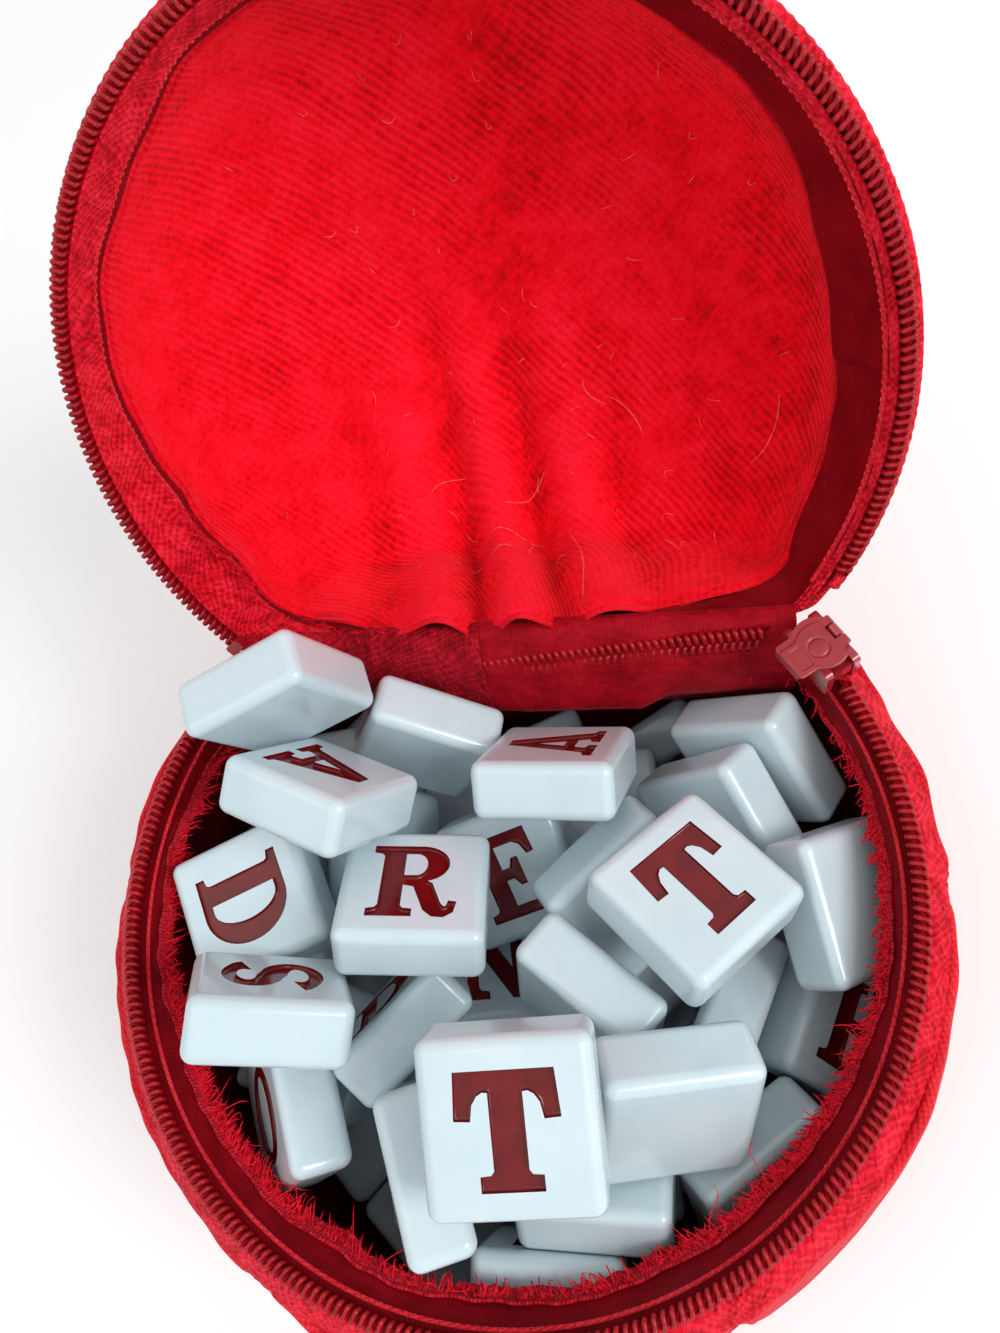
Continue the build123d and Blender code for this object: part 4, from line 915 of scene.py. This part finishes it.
def puller_face():
    """Cast face of the puller, u inwards from its pin and v across it: a low plate with rounded
    edges over a round head and a square tail, a sunk window in the tail and a groove round a low
    dome in the head."""
    u = np.linspace(*PULL_ENDS, 150)[:, None]
    t = np.linspace(-1, 1, 111)[None, :]
    head = np.sqrt(np.maximum(11.2 - (u - 2.7) ** 2, 0))
    tail = 1.76 + np.sqrt(np.maximum(0.36 - np.maximum(u - 7.18, 0) ** 2, 0))
    half = -soft_min(-head, -tail, 0.5)
    v = half * t
    inside = np.minimum(half * (1 - np.abs(t)), np.minimum(u - PULL_ENDS[0], PULL_ENDS[1] - u))
    edge = 0.24 * np.sqrt(1 - (1 - np.clip(inside / 0.3, 0, 1)) ** 2)
    window = np.hypot(np.maximum(np.abs(u - 6.0) - 0.55, 0), np.maximum(np.abs(v) - 1.2, 0))
    sunk = 0.17 * np.clip((0.42 - window) / 0.14, 0, 1)
    middle = np.hypot(u - 3.3, v)
    groove = 0.17 * np.exp(-((middle - 1.3) / 0.16) ** 2)
    dome = 0.10 * np.sqrt(np.clip(1 - (middle / 1.1) ** 2, 0, 1))
    floor_of_dome = 0.08 * np.clip((1.2 - middle) / 0.2, 0, 1)
    height = PULL_TOP - 0.03 + edge - sunk - groove + dome - floor_of_dome
    turn = math.radians(SLIDER_AT)
    x = (PIN_AT - u) * math.cos(turn) - v * math.sin(turn)
    y = (PIN_AT - u) * math.sin(turn) + v * math.cos(turn)
    points = np.stack([x, y, height], axis=-1)[:, ::-1]
    mesh = grid_mesh("puller_face", points, points[..., :2])
    solidify(add("puller_face", mesh, pull_paint, "zip_pull", "pull_paint"), 0.15)


puller_face()

# --- Letter tiles -------------------------------------------------------------------------------------
# Moulded white plastic tiles with well rounded edges. Each has a slab-serif capital pressed into one
# face and filled with glossy dark red paint. They are poured into the case at random; the tiles of
# the heap that show a letter carry it as they lie, and the others lie face down.
TILE, THICK, ROUND_EDGE = 19.0, 8.0, 1.6
SINK, FLOOR_ROUND, BOLDER = 0.6, 0.3, 0.14


def curve_points(centre, size, start, end, count=14):
    """Points of an ellipse's arc, in degrees."""
    turn = np.radians(np.linspace(start, end, count))
    return [(centre[0] + size[0] * math.cos(a), centre[1] + size[1] * math.sin(a)) for a in turn]


def mirrored(half):
    """Whole outline from its right half."""
    return half + [(-x, y) for x, y in reversed(half)]


def ribbon():
    """Outline of the S: an even line through two bowls, thick in its middle and at its ends."""
    line = np.array(curve_points((0, 2.75), (3.3, 2.45), 12, 262, 30) +
                    curve_points((0, -2.7), (3.7, 2.55), 82, -168, 34))
    share = np.linspace(0, 1, len(line))
    width = 0.75 + 0.75 * np.exp(-((share - 0.48) / 0.16) ** 2)
    width = width + 0.75 * np.exp(-(share / 0.05) ** 2) + 0.75 * np.exp(-((1 - share) / 0.05) ** 2)
    way = np.gradient(line, axis=0)
    side = np.stack([-way[:, 1], way[:, 0]], axis=1) / np.linalg.norm(way, axis=1)[:, None] * width[:, None]
    return [tuple(p) for p in np.vstack([line + side, (line - side)[::-1]])]


GLYPHS = {
    "T": [mirrored([(0, 6), (5.2, 6), (5.5, 1.3), (4.0, 1.2), (3.7, 2.8), (3.1, 3.7), (2.4, 4.1),
         (1.7, 4.0), (1.7, -4.0), (2.1, -4.5), (3.2, -4.6), (3.2, -6), (0, -6)])],
    "R": [[(-5.4, 6), (0.9, 6)] + curve_points((0.9, 2.95), (3.5, 3.05), 80, -80) + [(2.4, -0.6),
         (3.6, -3.9), (4.1, -4.6), (4.6, -4.4), (4.8, -3.6), (5.6, -3.7), (5.3, -5.3), (4.2, -6.1),
         (2.8, -6.0), (1.7, -5.0), (0.2, -1.0), (-1.4, -0.7), (-1.4, -4.4), (-1.0, -4.9), (0.1, -5.0),
         (0.1, -6), (-5.4, -6), (-5.4, -5.0), (-4.4, -4.8), (-4.0, -4.3), (-4.0, 4.3), (-4.4, 4.8),
         (-5.4, 5.0)], [(-1.4, 4.8), (0.2, 4.8)] + curve_points((0.2, 2.75), (1.6, 2.05), 80, -80) +
         [(-1.4, 0.7)]],
    "D": [[(-5.2, 6), (0.2, 6)] + curve_points((0.2, 0), (5.2, 6), 84, -84, 22) + [(0.2, -6), (-5.2, -6),
         (-5.2, -5.0), (-4.2, -4.8), (-3.9, -4.3), (-3.9, 4.3), (-4.2, 4.8), (-5.2, 5.0)], [(-1.3, 4.8),
         (-0.1, 4.8)] + curve_points((-0.1, 0), (2.7, 4.8), 84, -84, 20) + [(-0.1, -4.8), (-1.3, -4.8)]],
    "A": [[(-0.9, 6.1), (1.2, 6.1), (4.6, -4.4), (4.9, -4.9), (5.7, -5.1), (5.7, -6), (0.5, -6),
         (0.5, -5.1), (1.6, -4.8), (1.7, -4.3), (1.3, -3.0), (-1.9, -3.0), (-2.4, -4.3), (-2.3, -4.8),
         (-1.2, -5.1), (-1.2, -6), (-5.7, -6), (-5.7, -5.1), (-4.5, -4.8), (-4.1, -4.2)], [(-0.35, 2.6),
         (0.85, -1.7), (-1.5, -1.7)]],
    "S": [ribbon()],
    "E": [[(-5.0, 6), (4.6, 6), (4.7, 2.4), (3.8, 2.3), (3.2, 3.9), (2.2, 4.6), (-0.9, 4.6), (-0.9, 0.9),
         (0.5, 0.9), (1.2, 2.2), (2.0, 2.2), (2.0, -1.7), (1.2, -1.7), (0.5, -0.5), (-0.9, -0.5),
         (-0.9, -4.6), (2.4, -4.6), (3.6, -3.8), (4.3, -2.0), (5.2, -2.1), (5.0, -6), (-5.0, -6),
         (-5.0, -5.0), (-4.0, -4.8), (-3.6, -4.3), (-3.6, 4.3), (-4.0, 4.8), (-5.0, 5.0)]],
    "H": [mirrored([(0, 0.8), (1.7, 0.8), (1.7, 4.3), (1.4, 4.8), (0.6, 5.0), (0.6, 6), (5.6, 6),
         (5.6, 5.0), (4.7, 4.8), (4.3, 4.3), (4.3, -4.3), (4.7, -4.8), (5.6, -5.0), (5.6, -6), (0.6, -6),
         (0.6, -5.0), (1.4, -4.8), (1.7, -4.3), (1.7, -0.7), (0, -0.7)])],
    "O": [curve_points((0, 0), (5.3, 6.1), 0, 350, 36), curve_points((0, 0), (2.5, 4.9), 0, 350, 36)],
    "N": [[(-5.4, 6), (-2.0, 6), (2.6, -1.8), (2.6, 4.3), (2.3, 4.8), (1.2, 5.0), (1.2, 6), (5.4, 6),
         (5.4, 5.0), (4.4, 4.8), (4.1, 4.3), (4.1, -6), (2.2, -6), (-2.9, 2.6), (-2.9, -4.3),
         (-2.5, -4.8), (-1.4, -5.0), (-1.4, -6), (-5.4, -6), (-5.4, -5.0), (-4.6, -4.8), (-4.3, -4.3),
         (-4.3, 4.3), (-4.6, 4.8), (-5.4, 5.0)]],
    "I": [mirrored([(0, 6), (2.9, 6), (2.9, 5.0), (1.9, 4.8), (1.6, 4.3), (1.6, -4.3), (1.9, -4.8),
         (2.9, -5.0), (2.9, -6), (0, -6)])],
}

tile_plastic, shader, _, scuff = mottled(
    "tile_plastic", (0.51, 0.635, 0.685), (0.57, 0.68, 0.725), (90, 3), (420, 5, 0.7), 0.2, 0.04, 0.15,
    Coat_Weight=0.3, Coat_Roughness=0.06, Subsurface_Weight=0.06, Subsurface_Radius=(0.002, 0.0022, 0.0024))
set_inputs(shader, Roughness=plus(times(scuff, 0.16), 0.13))
letter_paint = mottled("letter_paint", (0.115, 0.003, 0.004), (0.17, 0.006, 0.007), (330, 2), None,
                       0.35, 0.2, Roughness=0.14, Coat_Weight=0.1, Coat_Roughness=0.05,
                       Specular_IOR_Level=0.3)[0]


def letter_solid(glyph):
    """Prism of a letter, from below its sunk floor to above the tile's face, made as a flat curve
    that is filled and given depth, so that inner outlines stay open."""
    curve = bpy.data.curves.new("letter", "CURVE")
    curve.dimensions, curve.fill_mode = "2D", "BOTH"
    depth = 1.0
    curve.extrude, curve.bevel_depth, curve.bevel_resolution = depth * MM, FLOOR_ROUND * MM, 2
    curve.offset = (BOLDER - FLOOR_ROUND) * MM
    for outline in GLYPHS[glyph]:
        spline = curve.splines.new("POLY")
        spline.points.add(len(outline) - 1)
        spline.points.foreach_set("co", np.array([(x * MM, y * MM, 0, 1) for x, y in outline]).ravel())
        spline.use_cyclic_u = True
    holder = bpy.data.objects.new("letter", curve)
    scene.collection.objects.link(holder)
    mesh = bpy.data.meshes.new_from_object(holder)
    bpy.data.objects.remove(holder)
    mesh.transform(Matrix.Translation((0, 0, (THICK / 2 - SINK + FLOOR_ROUND + depth) * MM)))
    mesh.materials.clear()
    mesh.materials.append(letter_paint)
    shape = bmesh.new()
    shape.from_mesh(mesh)
    bmesh.ops.remove_doubles(shape, verts=shape.verts, dist=1e-6)
    bmesh.ops.recalc_face_normals(shape, faces=shape.faces)
    shape.to_mesh(mesh)
    shape.free()
    return mesh


def tile_blank():
    """Block with its twelve edges and eight corners rounded."""
    mesh = bpy.data.meshes.new("blank")
    shape = bmesh.new()
    bmesh.ops.create_cube(shape, size=1.0, matrix=Matrix.Diagonal((TILE * MM, TILE * MM, THICK * MM, 1)))
    bmesh.ops.bevel(shape, geom=shape.edges[:], offset=ROUND_EDGE * MM, segments=6, profile=0.5,
                    affect="EDGES")
    shape.to_mesh(mesh)
    shape.free()
    mesh.materials.append(tile_plastic)
    return mesh


def pressed(glyph):
    """Tile with a letter cut into its upper face; the cut keeps the letter's paint."""
    tile = bpy.data.objects.new("tile", tile_blank())
    cutter = bpy.data.objects.new("cutter", letter_solid(glyph))
    for piece in (tile, cutter):
        scene.collection.objects.link(piece)
    cut = tile.modifiers.new("letter", "BOOLEAN")
    cut.operation, cut.solver, cut.object, cut.material_mode = "DIFFERENCE", "EXACT", cutter, "TRANSFER"
    graph = bpy.context.evaluated_depsgraph_get()
    mesh = bpy.data.meshes.new_from_object(tile.evaluated_get(graph))
    for piece in (tile, cutter):
        bpy.data.objects.remove(piece)
    shape = bmesh.new()
    shape.from_mesh(mesh)
    bmesh.ops.triangulate(shape, faces=[f for f in shape.faces if len(f.verts) > 4])
    for edge in shape.edges:
        flat = len(edge.link_faces) == 2 and edge.calc_face_angle(0) < math.radians(32)
        edge.smooth = flat and len({f.material_index for f in edge.link_faces}) == 1
    for face in shape.faces:
        face.smooth = True
    shape.to_mesh(mesh)
    shape.free()
    return mesh


tiles = {glyph: pressed(glyph) for glyph in GLYPHS}


def blocks(node):
    """Centre and axes of each block in a CAD node: its faces are gathered over their shared edges,
    in the order of the mesh, and its axes are those of its large and its long side faces."""
    shape = bmesh.new()
    shape.from_mesh(frame["nodes"][node].data)
    bmesh.ops.remove_doubles(shape, verts=shape.verts, dist=2e-6)
    shape.faces.index_update()
    reached, found = set(), []
    for first in shape.faces:
        island, queue = [], [first]
        while queue:
            face = queue.pop()
            if face.index not in reached:
                reached.add(face.index)
                island.append(face)
                queue.extend(other for edge in face.edges for other in edge.link_faces)
        if not island:
            continue
        corners = np.array([v.co for v in dict.fromkeys(v for face in island for v in face.verts)])
        sides = {}
        for face in island:
            key = tuple(round(abs(k), 2) for k in face.normal)
            sides.setdefault(key, [0.0, face.normal.copy()])[0] += face.calc_area()
        ranked = sorted(sides.values(), key=lambda side: -side[0])
        up = ranked[0][1]
        along = min((side[1] for side in ranked[1:3]), key=lambda normal: abs(normal.dot(up)))
        found.append((corners.mean(axis=0), np.array(up), np.array(along)))
    shape.free()
    return found


def facing(tilt, towards, turn):
    """Axes of a tile whose face is tilted towards an azimuth, with its letter turned on it."""
    first, second, third = (Matrix.Rotation(math.radians(angle), 3, axis)
                            for angle, axis in ((towards, "Z"), (tilt, "Y"), (turn - towards, "Z")))
    return np.array(first @ second @ third)


SHOWN = {
    "T": [(20, -75, 5), (20, 55, 45)],
    "A": [(60, 70, -115), (55, 90, 85), (60, -45, 30)],
    "S": [(70, 80, 110)],
    "R": [(35, 75, 5)],
    "D": [(5, -95, -65), (65, 137, 47)],
    "E": [(30, -100, 20)],
    "H": [(40, -10, -25)],
    "N": [(25, 60, 10)],
    "O": [(55, -160, 20)],
}
HIDDEN = "EAIONRTSDHIEAO"
SEEN_FROM = np.array([0.21, -0.39, 0.89])


def set_tile(centre, up, along, spare):
    """Copy of a lettered tile at a block: as listed when its axes are, and otherwise face down."""
    for glyph, places in SHOWN.items():
        for place_of in places:
            axes = facing(*place_of)
            square = max(abs(axes[:, 0] @ along), abs(axes[:, 1] @ along)) > 0.9995
            if abs(axes[:, 2] @ up) > 0.9998 and square:
                return tiles[glyph], axes, centre
    up = up if up @ SEEN_FROM < 0 else -up
    side = np.cross(up, along)
    return tiles[HIDDEN[spare % len(HIDDEN)]], np.stack([along, side, up], axis=1), centre


def heap(node, name):
    """All the tiles of one CAD node as one piece, each in its own place."""
    shape = bmesh.new()
    for number, block in enumerate(blocks(node)):
        source, axes, centre = set_tile(*block, number)
        copy = source.copy()
        matrix = Matrix(axes.tolist()).to_4x4()
        matrix.translation = centre
        copy.transform(matrix)
        shape.from_mesh(copy)
        bpy.data.meshes.remove(copy)
    mesh = bpy.data.meshes.new(name)
    shape.to_mesh(mesh)
    shape.free()
    mesh.materials.append(tile_plastic)
    body = next(b for b, members in frame["record"]["behaviour"]["bodies"].items() if node in members)
    piece = add(name, mesh, letter_paint, body, "tile_plastic", node)
    piece.modifiers.new("crisp faces", "WEIGHTED_NORMAL").keep_sharp = True


for node in sorted(n for n in frame["nodes"] if n.startswith("tile")):
    heap(node, "letters" + node.removeprefix("tiles").removeprefix("tile"))
for spare in tiles.values():
    bpy.data.meshes.remove(spare)

# --- Floor and light ----------------------------------------------------------------------------
# A plain white floor and a soft studio: one large lamp high on the right, which throws the case's
# shadow to the left, a weaker one on the left, and an even white sky.
floor_mesh = bpy.data.meshes.new("floor")
floor_mesh.from_pydata([(-9, -9, 0), (9, -9, 0), (9, 9, 0), (-9, 9, 0)], [], [(0, 1, 2, 3)])
floor = bpy.data.objects.new("floor", floor_mesh)
scene.collection.objects.link(floor)
white, tree, shader = new_material("floor_white")


def seen(tree):
    """One where a ray comes from the camera or by a mirror or glass, and otherwise nought."""
    rays = tree.nodes.new("ShaderNodeLightPath").outputs
    return largest(rays["Is Camera Ray"], largest(rays["Is Glossy Ray"], rays["Is Transmission Ray"]))


glow = times(seen(tree), 0.13)
glow = new_node(tree, "CombineColor", Red=glow, Green=glow, Blue=glow)
set_inputs(shader, Base_Color=(0.78, 0.78, 0.78, 1), Roughness=0.9, Emission_Strength=1.0,
           Emission_Color=glow.outputs[0])
floor_mesh.materials.append(white)

sky = bpy.data.worlds.new("sky")
sky.use_nodes = True
scene.world = sky
set_inputs(sky.node_tree.nodes["Background"], Color=(1, 1, 1, 1),
           Strength=plus(times(seen(sky.node_tree), 0.22), 0.78))


def lamp(name, spot, target, size, power):
    """Square area lamp that faces a point of the case."""
    light = bpy.data.objects.new(name, bpy.data.lights.new(name, "AREA"))
    light.data.size, light.data.energy = size, power
    scene.collection.objects.link(light)
    away = (Vector(spot) - Vector(target)).to_track_quat("Z", "Y")
    light.matrix_world = Matrix.Translation(spot) @ away.to_matrix().to_4x4()


lamp("key", (0.72, -0.24, 0.72), (0, 0.02, 0.06), 0.4, 6.0)
lamp("fill", (-0.5, -0.3, 0.9), (0, 0.02, 0.06), 0.8, 1.6)
